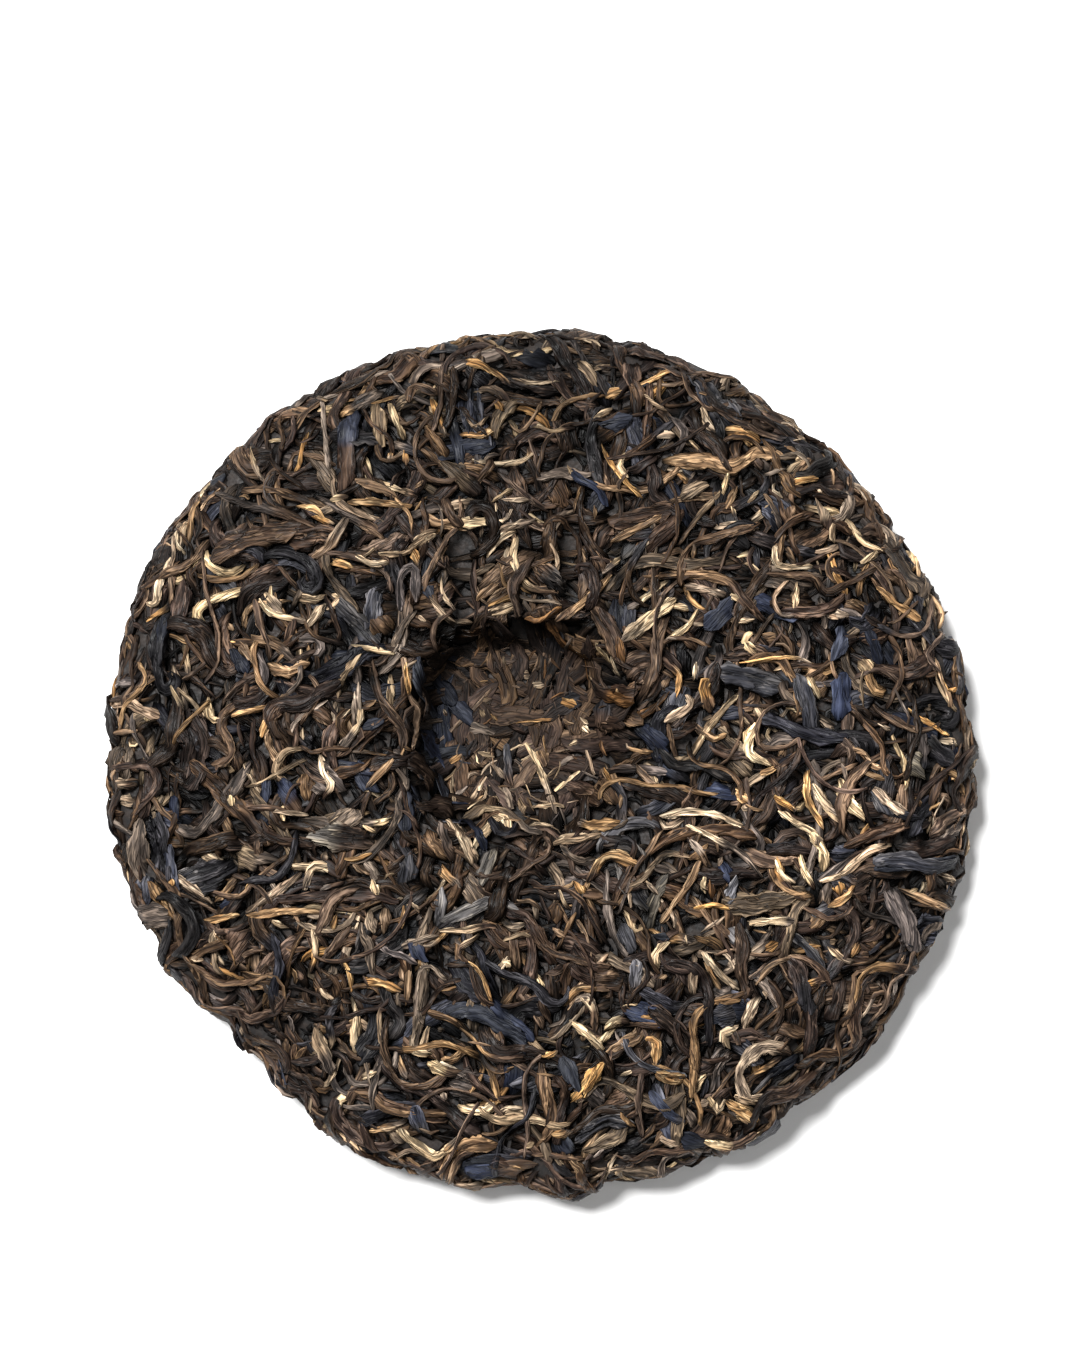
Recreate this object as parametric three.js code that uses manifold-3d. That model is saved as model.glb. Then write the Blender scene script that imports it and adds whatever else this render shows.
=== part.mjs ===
// A pressed cake of loose leaf tea, lying flat with the pressed hollow of its back up.
// Millimetres, +Z up. The origin is under the middle of the cake, on the surface it lies on.
//
// The cake is one solid: a round core with a rounded rim, a squarish hollow left by the knot of
// the pressing cloth, two grooves from the cloth's folds and a crumbled patch of rim. The leaves
// that show largest are fused on where they lie, then others by a rule with seeded draws.

import * as THREE from 'three';
import { mergeVertices } from 'three/addons/utils/BufferGeometryUtils.js';
import Module from 'manifold-3d';

const wasm = await Module();
wasm.setup();

// The body of the cake
const CAKE_RADIUS = 98.6;       // compact edge, seen from above
const CAKE_HEIGHT = 23.4;       // crest of the core; the leaves stand a little proud of it
const WIDEST_HEIGHT = 10;       // where the rim bulges most
const REST_RADIUS = 70;         // flat part of the underside, on which the cake lies
const SHOULDER_POWER = 6;       // higher is a flatter top and a tighter shoulder
const CORE_SECTORS = 60;
const TOP_RINGS = [0.12, 0.24, 0.36, 0.48];  // shares of the radius, inside the shoulder
const SHOULDER_STEPS = 8;
const UNDER_STEPS = 5;

// Low places and swellings of the edge: angle in degrees, its spread, and how far it moves
const EDGE_SWELLS = [
  { angle: 48, spread: 34, rise: -1.6 },
  { angle: 128, spread: 22, rise: 1.0 },
  { angle: 155, spread: 18, rise: 0.9 },
  { angle: 226, spread: 11, rise: -5.0 },
  { angle: 267, spread: 7, rise: -1.6 },
  { angle: 300, spread: 14, rise: 1.0 },
  { angle: 354, spread: 26, rise: 1.4 },
];

// The hollow: a square with round sides, deep in the middle, with a rounded lip
const HOLLOW = { x: -5.5, y: 8.5, halfWidth: 23, halfLength: 22.5, depth: 12.5, power: 3 };
const HOLLOW_FLOOR_SHARE = 0.7; // the floor reaches this share of the way out
const HOLLOW_LIP_SHARE = 1.12;  // and the lip ends here
const HOLLOW_SECTORS = 28;
const HOLLOW_RINGS = 8;
const HOLLOW_CLEARANCE = 1;      // how far the cutting solid passes over the crest

// Grooves that the cloth's folds pressed in: ends, width and depth
const GROOVES = [
  { from: [-18, 53], to: [-15, 31], width: 4.4, depth: 2.6 },
  { from: [7, 68], to: [7.5, 30], width: 3.6, depth: 1.8 },
];

// The crumbled patch of rim
const CHIP = { angle: 226, spread: 15, depth: 5, innerRadius: 68 };

// Broad lumps of the pressed surface
const LUMP_HEIGHT = 0.35;
const LUMP_LENGTH = 11;

// Leaves
const LEAF_THICKNESS = 2;
const LEAF_PROUD = 0.35;        // how far a leaf's middle line stands over the core
const LEAF_RINGS = 4;
const BLADE_SIDES = 6;
const STRIP_SIDES = 4;
const BLADE_WIDTH = 3;          // leaves at least this wide are flat blades, the rest twisted strips
const TOP_LEAVES = 72;
const RIM_LEAVES = 40;
const RIM_ROWS = [4, 8.5, 13, 17.5];  // heights of the leaves round the rim
const EDGE_MARGIN = 5.5;        // leaves on top stay this far inside the edge
const GOLDEN_TURN = Math.PI * (3 - Math.sqrt(5));
const SEED = 41;

// The largest leaves that show on top: width, then the points they pass over
const SHOWN_LEAVES = [
  { width: 3.2, over: [[27.5, 68.5], [41, 67.5], [56, 69.5]] },
  { width: 3.2, over: [[72, 65], [78, 55], [82, 48]] },
  { width: 4.2, over: [[-43, 80], [-44, 71], [-44.5, 62]] },
  { width: 1.8, over: [[-75, 61.5], [-63, 58], [-50, 53]] },
  { width: 4.3, over: [[-74.5, 46.6], [-65, 51], [-54.7, 53]] },
  { width: 3.4, over: [[-46.1, 36.1], [-41.5, 31.5], [-36.8, 26.8]] },
  { width: 4.0, over: [[-81.7, 42], [-83, 37], [-83, 32.1]] },
  { width: 2.2, over: [[-77, 49], [-75, 44], [-67.5, 45.3]] },
  { width: 2.2, over: [[-67.5, 39], [-78, 34], [-75.1, 28.1]] },
  { width: 2.6, over: [[31, 37.1], [25.7, 33.3], [18.1, 27.1]] },
  { width: 5.4, over: [[18.7, 36], [18.7, 33], [18.7, 30]] },
  { width: 3.6, over: [[11.9, 35.3], [16.3, 28.6], [18.7, 22.7]] },
  { width: 4.0, over: [[43.6, 35.9], [40.6, 33], [37.7, 30.4]] },
  { width: 4.6, over: [[40.4, 20.4], [47.7, 18.7], [55, 17]] },
  { width: 3.8, over: [[60.7, 18], [61.6, 10], [62.6, 2]] },
  { width: 2.6, over: [[29.8, 35.1], [26.5, 24], [22.2, 13]] },
  { width: 2.0, over: [[49.2, 9], [47.2, 2.4], [52.8, -0.9]] },
  { width: 2.2, over: [[67.5, -3.5], [69.8, -9], [73.3, -12]] },
  { width: 5.0, over: [[-51.4, -15.9], [-44.8, -17.4], [-38.2, -17.9]] },
  { width: 3.0, over: [[-20.3, -88.5], [-22.3, -93], [-19, -96]] },
  { width: 1.6, over: [[-32.9, -84.2], [-26, -89.5], [-19.7, -86.6]] },
  { width: 4.6, over: [[-17.7, -94], [-10, -92], [-2.5, -93.5]] },
  { width: 3.0, over: [[-61.3, -31.1], [-46, -30.5], [-31.6, -31.8]] },
  { width: 3.2, over: [[26.4, -70.7], [30, -71.4], [34, -71.2]] },
];

// Random draws that come out the same each time
let draw = SEED;
function random() {
  draw = (draw * 1664525 + 1013904223) % 4294967296;
  return draw / 4294967296;
}

function between(low, high) {
  return low + (high - low) * random();
}

function turnBetween(angle, other) {
  return Math.abs(((angle - other + 540) % 360) - 180);
}

function bell(distance, spread) {
  return Math.exp(-((distance / spread) ** 2));
}

function edgeRadius(x, y) {
  const angle = THREE.MathUtils.radToDeg(Math.atan2(y, x));
  const swell = (sum, each) => sum + each.rise * bell(turnBetween(angle, each.angle), each.spread);
  return EDGE_SWELLS.reduce(swell, CAKE_RADIUS);
}

// 0 in the middle of the hollow and 1 at its nominal edge
function hollowShare(x, y) {
  const across = Math.abs((x - HOLLOW.x) / HOLLOW.halfWidth);
  const along = Math.abs((y - HOLLOW.y) / HOLLOW.halfLength);
  return (across ** HOLLOW.power + along ** HOLLOW.power) ** (1 / HOLLOW.power);
}

function hollowDepthAt(share) {
  return HOLLOW.depth * (1 - THREE.MathUtils.smoothstep(share, HOLLOW_FLOOR_SHARE, HOLLOW_LIP_SHARE));
}

function grooveDepth(x, y) {
  const point = new THREE.Vector3(x, y, 0);
  const nearest = new THREE.Vector3();
  let deepest = 0;
  for (const groove of GROOVES) {
    const line = new THREE.Line3(new THREE.Vector3(...groove.from, 0), new THREE.Vector3(...groove.to, 0));
    line.closestPointToPoint(point, true, nearest);
    deepest = Math.max(deepest, groove.depth * bell(point.distanceTo(nearest), groove.width / 2));
  }
  return deepest;
}

function chipDepth(x, y) {
  const angle = THREE.MathUtils.radToDeg(Math.atan2(y, x));
  const outward = THREE.MathUtils.smoothstep(Math.hypot(x, y), CHIP.innerRadius, CAKE_RADIUS);
  return CHIP.depth * outward * bell(turnBetween(angle, CHIP.angle), CHIP.spread);
}

function lump(x, y) {
  const slant = Math.sin((x + 0.6 * y) / LUMP_LENGTH);
  const cross = Math.sin((1.3 * y - 0.5 * x) / LUMP_LENGTH + 1);
  return LUMP_HEIGHT * (slant + cross);
}

// Height of the rounded top at a share of the edge radius
function topAtShare(share) {
  const dome = Math.sqrt(Math.max(0, 1 - share ** SHOULDER_POWER));
  return WIDEST_HEIGHT + (CAKE_HEIGHT - WIDEST_HEIGHT) * dome;
}

// Top of the core without the hollow
function crustHeight(x, y) {
  const share = Math.min(1, Math.hypot(x, y) / edgeRadius(x, y));
  const inward = 1 - share ** SHOULDER_POWER;
  return topAtShare(share) - chipDepth(x, y) + lump(x, y) * inward;
}

function topHeight(x, y) {
  return crustHeight(x, y) - hollowDepthAt(hollowShare(x, y)) - grooveDepth(x, y);
}

// Share of the edge radius that the rim reaches at a height
function rimShare(height) {
  if (height >= WIDEST_HEIGHT) {
    const rise = (height - WIDEST_HEIGHT) / (CAKE_HEIGHT - WIDEST_HEIGHT);
    return Math.max(0, 1 - rise * rise) ** (1 / SHOULDER_POWER);
  }
  const restShare = REST_RADIUS / CAKE_RADIUS;
  const fall = (WIDEST_HEIGHT - height) / WIDEST_HEIGHT;
  return restShare + (1 - restShare) * Math.sqrt(Math.max(0, 1 - fall * fall));
}

// A geometry's triangles as a solid that can be joined and cut
function solidFrom(geometry) {
  const bare = geometry.clone();
  bare.deleteAttribute('normal');
  bare.deleteAttribute('uv');
  const merged = mergeVertices(bare, 1e-4);
  const vertProperties = new Float32Array(merged.attributes.position.array);
  const triVerts = new Uint32Array(merged.index.array);
  return new wasm.Manifold(new wasm.Mesh({ numProp: 3, vertProperties, triVerts }));
}

// Radius shares and heights of the core, from the underside's middle round to the top's
function coreProfile() {
  const points = [new THREE.Vector2(0, 0)];
  for (let step = 0; step < UNDER_STEPS; step += 1) {
    const height = WIDEST_HEIGHT * (1 - Math.cos((Math.PI / 2) * (step / UNDER_STEPS)));
    points.push(new THREE.Vector2(rimShare(height), height));
  }
  for (let step = SHOULDER_STEPS; step > 0; step -= 1) {
    const share = Math.sin((Math.PI / 2) * (step / SHOULDER_STEPS)) ** (2 / SHOULDER_POWER);
    points.push(new THREE.Vector2(share, topAtShare(share)));
  }
  for (const share of TOP_RINGS.toReversed()) {
    points.push(new THREE.Vector2(share, topAtShare(share)));
  }
  points.push(new THREE.Vector2(0, CAKE_HEIGHT));
  return points;
}

function coreSolid() {
  const geometry = new THREE.LatheGeometry(coreProfile(), CORE_SECTORS);
  geometry.rotateX(Math.PI / 2);
  const position = geometry.attributes.position;
  for (let i = 0; i < position.count; i += 1) {
    const x = position.getX(i);
    const y = position.getY(i);
    const radius = edgeRadius(x, y);
    const height = position.getZ(i);
    const isTop = height > WIDEST_HEIGHT + 0.01;
    position.setXYZ(i, x * radius, y * radius, isTop ? crustHeight(x * radius, y * radius) : height);
  }
  return solidFrom(geometry);
}

// How far out of the hollow's middle a turn's side lies, at share 1
function hollowReach(turn) {
  const across = Math.abs(Math.cos(turn)) ** HOLLOW.power;
  const along = Math.abs(Math.sin(turn)) ** HOLLOW.power;
  return 1 / (across + along) ** (1 / HOLLOW.power);
}

// The air in and over the hollow, which the core is cut with: a ball whose lower half is drawn
// down to the hollow's floor and whose upper half is flattened just over the crest
function hollowSolid() {
  const geometry = new THREE.SphereGeometry(1, HOLLOW_SECTORS, 2 * HOLLOW_RINGS);
  geometry.rotateX(Math.PI / 2);
  const position = geometry.attributes.position;
  for (let i = 0; i < position.count; i += 1) {
    const unit = new THREE.Vector3().fromBufferAttribute(position, i);
    const turn = Math.atan2(unit.y, unit.x);
    const outward = 1 - Math.abs(Math.asin(THREE.MathUtils.clamp(unit.z, -1, 1))) / (Math.PI / 2);
    const share = outward * HOLLOW_LIP_SHARE;
    const x = HOLLOW.x + HOLLOW.halfWidth * share * hollowReach(turn) * Math.cos(turn);
    const y = HOLLOW.y + HOLLOW.halfLength * share * hollowReach(turn) * Math.sin(turn);
    const floor = crustHeight(x, y) - hollowDepthAt(share);
    const ceiling = CAKE_HEIGHT + HOLLOW_CLEARANCE * (2 - outward);
    position.setXYZ(i, x, y, unit.z < -1e-6 ? floor : ceiling);
  }
  return solidFrom(geometry);
}

function straightUp() {
  return new THREE.Vector3(0, 0, 1);
}

// A tapered spindle along a curve, flat against the surface: up(point) is the surface's normal
function spindleSolid(curve, up, width, thickness) {
  const sides = width < BLADE_WIDTH ? STRIP_SIDES : BLADE_SIDES;
  const geometry = new THREE.SphereGeometry(1, sides, LEAF_RINGS);
  const position = geometry.attributes.position;
  for (let i = 0; i < position.count; i += 1) {
    const unit = new THREE.Vector3().fromBufferAttribute(position, i);
    const along = Math.acos(THREE.MathUtils.clamp(unit.y, -1, 1)) / Math.PI;
    const blunt = Math.sqrt(Math.hypot(unit.x, unit.z));
    const round = Math.hypot(unit.x, unit.z) || 1;
    const point = curve.getPointAt(along);
    const normal = up(point);
    const side = new THREE.Vector3().crossVectors(curve.getTangentAt(along), normal).normalize();
    point.addScaledVector(side, (unit.x / round) * blunt * width / 2);
    point.addScaledVector(normal, -(unit.z / round) * blunt * thickness / 2);
    position.setXYZ(i, point.x, point.y, point.z);
  }
  return solidFrom(geometry);
}

// A leaf pressed on the top, through points seen from above
function topLeaf(points, width) {
  const seenFromAbove = new THREE.SplineCurve(points.map(([x, y]) => new THREE.Vector2(x, y)));
  const lifted = seenFromAbove.getPoints(LEAF_RINGS + 1).map(({ x, y }) => {
    return new THREE.Vector3(x, y, topHeight(x, y) + LEAF_PROUD);
  });
  const curve = new THREE.CatmullRomCurve3(lifted);
  return spindleSolid(curve, straightUp, width, LEAF_THICKNESS);
}

// A point on the rim, proud of the core by half a leaf
function rimPoint(turn, height) {
  const edge = edgeRadius(Math.cos(turn), Math.sin(turn));
  const reach = edge * rimShare(height) + LEAF_PROUD;
  const x = Math.cos(turn) * reach;
  const y = Math.sin(turn) * reach;
  return new THREE.Vector3(x, y, height - chipDepth(x, y) * (height / CAKE_HEIGHT));
}

// A leaf pressed along the rim, climbing a little as it goes round
function rimLeaf(angle, height, length, climb, width) {
  const points = [-0.5, -0.17, 0.17, 0.5].map((along) => {
    return rimPoint(angle + (along * length) / CAKE_RADIUS, height + along * climb);
  });
  const outward = (point) => new THREE.Vector3(point.x, point.y, 3 * (point.z - WIDEST_HEIGHT)).normalize();
  return spindleSolid(new THREE.CatmullRomCurve3(points), outward, width, LEAF_THICKNESS);
}

// Bent leaves spread evenly over the top, those near the shoulder lying along the edge
function scatteredTopLeaf(index) {
  const reach = (CAKE_RADIUS - EDGE_MARGIN) * Math.sqrt((index + 0.5) / TOP_LEAVES);
  const turn = index * GOLDEN_TURN + between(-0.1, 0.1);
  const middle = new THREE.Vector2(Math.cos(turn) * reach, Math.sin(turn) * reach);
  const isNearEdge = reach > CAKE_RADIUS * 0.8;
  const heading = isNearEdge ? turn + Math.PI / 2 + between(-0.5, 0.5) : between(0, Math.PI);
  const halfLength = between(4.5, 10.5);
  const bend = between(-3.2, 3.2);
  const width = between(1.4, 3.8);
  const along = new THREE.Vector2(Math.cos(heading), Math.sin(heading));
  const across = new THREE.Vector2(-along.y, along.x);
  const points = [-1, 0, 1].map((step) => {
    const point = middle.clone().addScaledVector(along, step * halfLength);
    point.addScaledVector(across, bend * (0.5 - Math.abs(step)));
    return point.clampLength(0, CAKE_RADIUS - EDGE_MARGIN).toArray();
  });
  return topLeaf(points, width);
}

function scatteredRimLeaf(index) {
  const height = RIM_ROWS[index % RIM_ROWS.length] + between(-1, 1);
  const angle = (index / RIM_LEAVES) * 2 * Math.PI + between(-0.06, 0.06);
  return rimLeaf(angle, height, between(11, 20), between(-3.5, 3.5), between(1.6, 3.6));
}

// The largest connected piece, without scraps or sealed voids
function largestBody(solid) {
  const bodies = solid.decompose();
  return bodies.reduce((largest, body) => (body.volume() > largest.volume() ? body : largest));
}

// A spindle sunk to its middle line, which the core is cut with
function grooveSolid(groove) {
  const ends = [groove.from, groove.to].map(([x, y]) => new THREE.Vector3(x, y, crustHeight(x, y)));
  return spindleSolid(new THREE.LineCurve3(...ends), straightUp, groove.width, 2 * groove.depth);
}

function teaCakeSolid() {
  let cake = coreSolid().subtract(hollowSolid());
  for (const groove of GROOVES) {
    cake = cake.subtract(grooveSolid(groove));
  }
  for (const leaf of SHOWN_LEAVES) {
    cake = cake.add(topLeaf(leaf.over, leaf.width));
  }
  for (let index = 0; index < TOP_LEAVES; index += 1) {
    cake = cake.add(scatteredTopLeaf(index));
  }
  for (let index = 0; index < RIM_LEAVES; index += 1) {
    cake = cake.add(scatteredRimLeaf(index));
  }
  return largestBody(cake);
}

function geometryFrom(solid) {
  const mesh = solid.getMesh();
  const geometry = new THREE.BufferGeometry();
  geometry.setAttribute('position', new THREE.BufferAttribute(mesh.vertProperties, 3));
  geometry.setIndex(new THREE.BufferAttribute(mesh.triVerts, 1));
  geometry.computeVertexNormals();
  return geometry;
}

const pressedLeaf = new THREE.MeshStandardMaterial({ color: 0x4a3f36, roughness: 0.7, metalness: 0 });

const teaCake = new THREE.Mesh(geometryFrom(teaCakeSolid()), pressedLeaf);
teaCake.name = 'tea_cake';

const part = new THREE.Group();
part.add(teaCake);

export default part;
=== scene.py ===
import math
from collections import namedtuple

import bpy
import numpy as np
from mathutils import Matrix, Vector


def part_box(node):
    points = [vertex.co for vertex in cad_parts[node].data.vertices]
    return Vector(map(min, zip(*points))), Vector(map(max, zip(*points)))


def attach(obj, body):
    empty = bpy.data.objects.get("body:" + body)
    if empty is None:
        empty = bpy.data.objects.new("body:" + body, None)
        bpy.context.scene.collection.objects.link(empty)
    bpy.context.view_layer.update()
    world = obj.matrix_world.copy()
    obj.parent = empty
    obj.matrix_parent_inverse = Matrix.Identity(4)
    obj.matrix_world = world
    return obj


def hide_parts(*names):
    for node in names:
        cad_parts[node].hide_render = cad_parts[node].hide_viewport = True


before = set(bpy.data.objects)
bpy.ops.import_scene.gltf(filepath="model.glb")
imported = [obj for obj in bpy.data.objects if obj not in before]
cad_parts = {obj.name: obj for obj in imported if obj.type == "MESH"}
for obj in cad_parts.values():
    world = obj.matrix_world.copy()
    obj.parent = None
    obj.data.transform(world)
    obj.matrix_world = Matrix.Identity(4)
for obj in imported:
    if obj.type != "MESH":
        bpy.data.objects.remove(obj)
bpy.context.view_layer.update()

# A pressed cake of loose leaf tea, lying flat with the pressed hollow of its back up.
#
# The cake's skin is a round, rounded body with a squarish hollow. Each side of it has a chart:
# the skin laid out flat round its middle, so that a point's distance from the chart's middle is
# its way along the skin. Leaves are laid one on another over a chart, each draped on what lies
# under it, and the finished pile is pressed level to the skin. The leaves that stand out most
# lie where the real ones do, and the rest are seeded draws.
#
# Lengths are in millimetres until a mesh is made.

MM = 0.001
low, high = (np.array(corner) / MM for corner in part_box("tea_cake"))

# The body under the leaves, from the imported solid's box
EDGE_MARGIN = 0.2               # the round edge lies this far past the box's mean radius
LEAF_RISE = 0.9                 # leaves stand this far over the body
CAKE_RADIUS = (high - low)[:2].sum() / 4 + EDGE_MARGIN
CAKE_HEIGHT = (high - low)[2] - LEAF_RISE
HIGHEST = (high - low)[2] + 0.4  # no leaf stands higher than this
WIDEST_HEIGHT = 10.0            # where the rim bulges most
REST_RADIUS = 70.0              # flat part of the underside
SHOULDER_POWER = 6.0            # higher is a flatter top and a tighter shoulder

# Low places and swellings of the edge: angle in degrees, its spread, and how far it moves
EDGE_SWELLS = [
    (48, 34, -1.6), (128, 22, 1.0), (155, 18, 0.9), (221, 9, -4.8), (233, 6, -2.4),
    (244, 5, 1.2), (252, 4, -0.8), (262, 4, 0.8), (267, 5, -0.8), (274, 3, 1.6), (281, 3, -0.8),
    (300, 14, 1.0), (354, 26, 1.4),
]
# Waves of the edge: how many round it, their height and their phase; the last is for the crumbled part
EDGE_WAVES = [(17, 0.35, 1.0), (29, 0.3, 2.0), (47, 0.8, 0.4)]

# The hollow: a square with round sides, with a flat floor and a rounded lip
HOLLOW_MIDDLE = np.array([-5.5, 8.5])
HOLLOW_HALF = np.array([23.0, 22.5])
HOLLOW_DEPTH = 12.0
HOLLOW_POWER = 3.0              # higher is a squarer hollow
HOLLOW_FLOOR_SHARE = 0.7        # the floor reaches this share of the way out
HOLLOW_LIP_SHARE = 1.15         # and the lip ends here
HOLLOW_STEEP_ANGLE = 135        # the wall is steepest on this side
FLOOR_STEEPNESS = 0.07          # how far the floor spreads there
LIP_STEEPNESS = 0.09            # and how far the lip draws in
WALL_SHADE = 0.45               # painted shade: leaves on the steep walls are darkened this much, as if in shadow

# Grooves that the cloth's folds pressed in: ends, width and depth
GROOVES = [((-18, 53), (-15, 31), 4.4, 2.6), ((7, 68), (7.5, 30), 3.6, 1.8)]

# The crumbled patch of rim
CHIP_ANGLE = 226
CHIP_SPREAD = 15
CHIP_DEPTH = 5.0
CHIP_INNER_RADIUS = 68.0

# Places where the leaves are darker or lighter than elsewhere: middle, spread, and change.
# The darker spots along the rim and in and round the hollow are painted shade
SHADE_AND_TONE_SPOTS = [
    ((-5, 96), 30, -0.6), ((44, 90), 12, -0.35), ((36, 62), 16, 0.1), ((74, 60), 16, -0.15),
    ((-68, 64), 24, -0.15), ((-92, 8), 18, -0.2), ((-82, 36), 14, -0.05), ((38, 18), 15, 0.2),
    ((-62, -66), 22, -0.3), ((-12, 40), 11, -0.3), ((-36, 14), 10, -0.2), ((14, 17), 8, -0.2),
    ((-4, 19), 11, -0.5), ((-20, 8), 8, -0.2), ((-6, -18), 9, -0.15), ((-14, 62), 16, -0.12),
    ((68, -8), 24, 0.55), ((60, 34), 18, 0.15), ((-60, 12), 16, 0.25), ((-62, -40), 16, 0.15),
    ((-5, -66), 20, -0.05), ((46, -66), 22, -0.12), ((92, -40), 16, -0.12), ((-2, -7), 8, 0.05),
    ((40, -84), 14, 0.15), ((18, -12), 12, -0.1), ((62, -38), 14, 0.25), ((-12, -90), 14, 0.15),
]

# The pile
CELL = 0.35                     # grid that holds the pile's height
CHART_REACH = 128.0             # half of that grid's side
PATH_STEPS = 24                 # points along a leaf's path
NUDGE = 0.3                     # step for slopes of the skin
CORE_DEPTH = 3.3                # the dark core lies this far under the skin
TOP_LEVEL = -0.55               # mean height of the finished pile against the skin
PRESS_SCALE = 6.0               # the pile is pressed level over about this length
MOST_RAISED = 0.5               # what stands out more than this is pressed half as far
TOP_EDGE = 121.0                # the top's leaves lie this far round its chart
UNDER_EDGE = 100.0              # and the underside's this far round theirs
RIM_WAY = 96.0                  # a leaf that ends past this way lies on the rim
DEEP_SHADE = 0.05               # what is left of the brightness of leaves deep in the pile
LEAST_SHOWN = 1.3               # leaves that show less than this, in mm2, are left out

rng = np.random.default_rng(11)


def smoothstep(value, start, end):
    share = np.clip((value - start) / (end - start), 0, 1)
    return share * share * (3 - 2 * share)


def turn_between(angle, other):
    return np.abs((angle - other + 180) % 360 - 180)


def bell(distance, spread):
    return np.exp(-(distance / spread) ** 2)


def build_profile():
    """Way, radius and height of the skin, from the top's middle to the underside's."""
    over = np.linspace(0, 1, 1500) ** 2 * (np.pi / 2)
    under = np.linspace(0, 1, 400)[1:] * (np.pi / 2)
    rest_share = REST_RADIUS / CAKE_RADIUS
    shares = np.concatenate([
        np.sin(over) ** (2 / SHOULDER_POWER), rest_share + (1 - rest_share) * np.cos(under), [0]])
    heights = np.concatenate([
        WIDEST_HEIGHT + (CAKE_HEIGHT - WIDEST_HEIGHT) * np.cos(over),
        WIDEST_HEIGHT * (1 - np.sin(under)), [0]])
    radii = shares * CAKE_RADIUS
    ways = np.concatenate([[0], np.cumsum(np.hypot(np.diff(radii), np.diff(heights)))])
    return ways, radii, heights


WAYS, RADII, HEIGHTS = build_profile()
WIDEST_WAY = WAYS[np.argmax(RADII)]
ALL_TURNS = np.arange(-180, 181)


def edge_rise(turn):
    """How far the edge stands out of its circle at an angle in degrees."""
    swell = sum(
        height * bell(turn_between(turn, angle), spread) for angle, spread, height in EDGE_SWELLS)
    waves = [height * np.sin(count * np.radians(turn) + phase) for count, height, phase in EDGE_WAVES]
    crumbled = bell(turn_between(turn, CHIP_ANGLE), 1.4 * CHIP_SPREAD)
    return swell + waves[0] + waves[1] + waves[2] * crumbled


EDGE_STRETCH = 1 + edge_rise(ALL_TURNS) / CAKE_RADIUS


def toward_steep(x, y):
    turn = np.arctan2((y - HOLLOW_MIDDLE[1]) / HOLLOW_HALF[1], (x - HOLLOW_MIDDLE[0]) / HOLLOW_HALF[0])
    return np.cos(turn - math.radians(HOLLOW_STEEP_ANGLE))


def hollow_depth(x, y):
    across = np.abs(x - HOLLOW_MIDDLE[0]) / HOLLOW_HALF[0]
    along = np.abs(y - HOLLOW_MIDDLE[1]) / HOLLOW_HALF[1]
    share = (across ** HOLLOW_POWER + along ** HOLLOW_POWER) ** (1 / HOLLOW_POWER)
    steep = toward_steep(x, y)
    floor_share = HOLLOW_FLOOR_SHARE + FLOOR_STEEPNESS * steep
    lip_share = HOLLOW_LIP_SHARE - LIP_STEEPNESS * steep
    return HOLLOW_DEPTH * (1 - smoothstep(share, floor_share, lip_share))


def shade_and_tone_of_place(x, y):
    """How bright the leaves are made at a place on the top: painted shade on the hollow's steep walls, and
    the spots of painted shade and tone.
    """
    depth = hollow_depth(x, y) / HOLLOW_DEPTH
    # Painted shade, strongest about halfway down the wall
    wall = np.clip(4.4 * depth * (1.08 - depth), 0, 1)
    tone = 1 - WALL_SHADE * wall * smoothstep(toward_steep(x, y), -0.5, 0.6)
    for (middle_x, middle_y), spread, change in SHADE_AND_TONE_SPOTS:
        tone = tone * (1 + change * bell(np.hypot(x - middle_x, y - middle_y), spread))
    return tone


def groove_depth(x, y):
    depth = np.zeros_like(x)
    for start, end, width, deepest in GROOVES:
        line = np.subtract(end, start)
        along = ((x - start[0]) * line[0] + (y - start[1]) * line[1]) / (line @ line)
        along = np.clip(along, 0, 1)
        away = np.hypot(x - start[0] - along * line[0], y - start[1] - along * line[1])
        depth = np.maximum(depth, deepest * bell(away, width / 2))
    return depth


def chip_depth(x, y):
    turn = np.degrees(np.arctan2(y, x))
    outward = smoothstep(np.hypot(x, y), CHIP_INNER_RADIUS, CAKE_RADIUS)
    return CHIP_DEPTH * outward * bell(turn_between(turn, CHIP_ANGLE), CHIP_SPREAD)


def skin(chart, is_under):
    """Points of the skin for positions on a chart."""
    way = np.hypot(chart[..., 0], chart[..., 1])
    turn = np.arctan2(chart[..., 1], chart[..., 0])
    if is_under:
        way = WAYS[-1] - way
    radius = np.interp(way, WAYS, RADII) * np.interp(np.degrees(turn), ALL_TURNS, EDGE_STRETCH)
    x, y = radius * np.cos(turn), radius * np.sin(turn)
    z = np.interp(way, WAYS, HEIGHTS)
    z = z - chip_depth(x, y) * z / CAKE_HEIGHT
    if not is_under:
        z = z - hollow_depth(x, y) - groove_depth(x, y)
    return np.stack([x, y, z], axis=-1)


def unit(vectors):
    return vectors / np.maximum(np.linalg.norm(vectors, axis=-1, keepdims=True), 1e-9)


def slopes(chart, is_under):
    """How the skin's points move with the chart's two directions, and the outward normal."""
    east, north = np.array([NUDGE, 0.0]), np.array([0.0, NUDGE])
    by_u = (skin(chart + east, is_under) - skin(chart - east, is_under)) / (2 * NUDGE)
    by_v = (skin(chart + north, is_under) - skin(chart - north, is_under)) / (2 * NUDGE)
    normal = unit(np.cross(by_u, by_v))
    return by_u, by_v, -normal if is_under else normal


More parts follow.
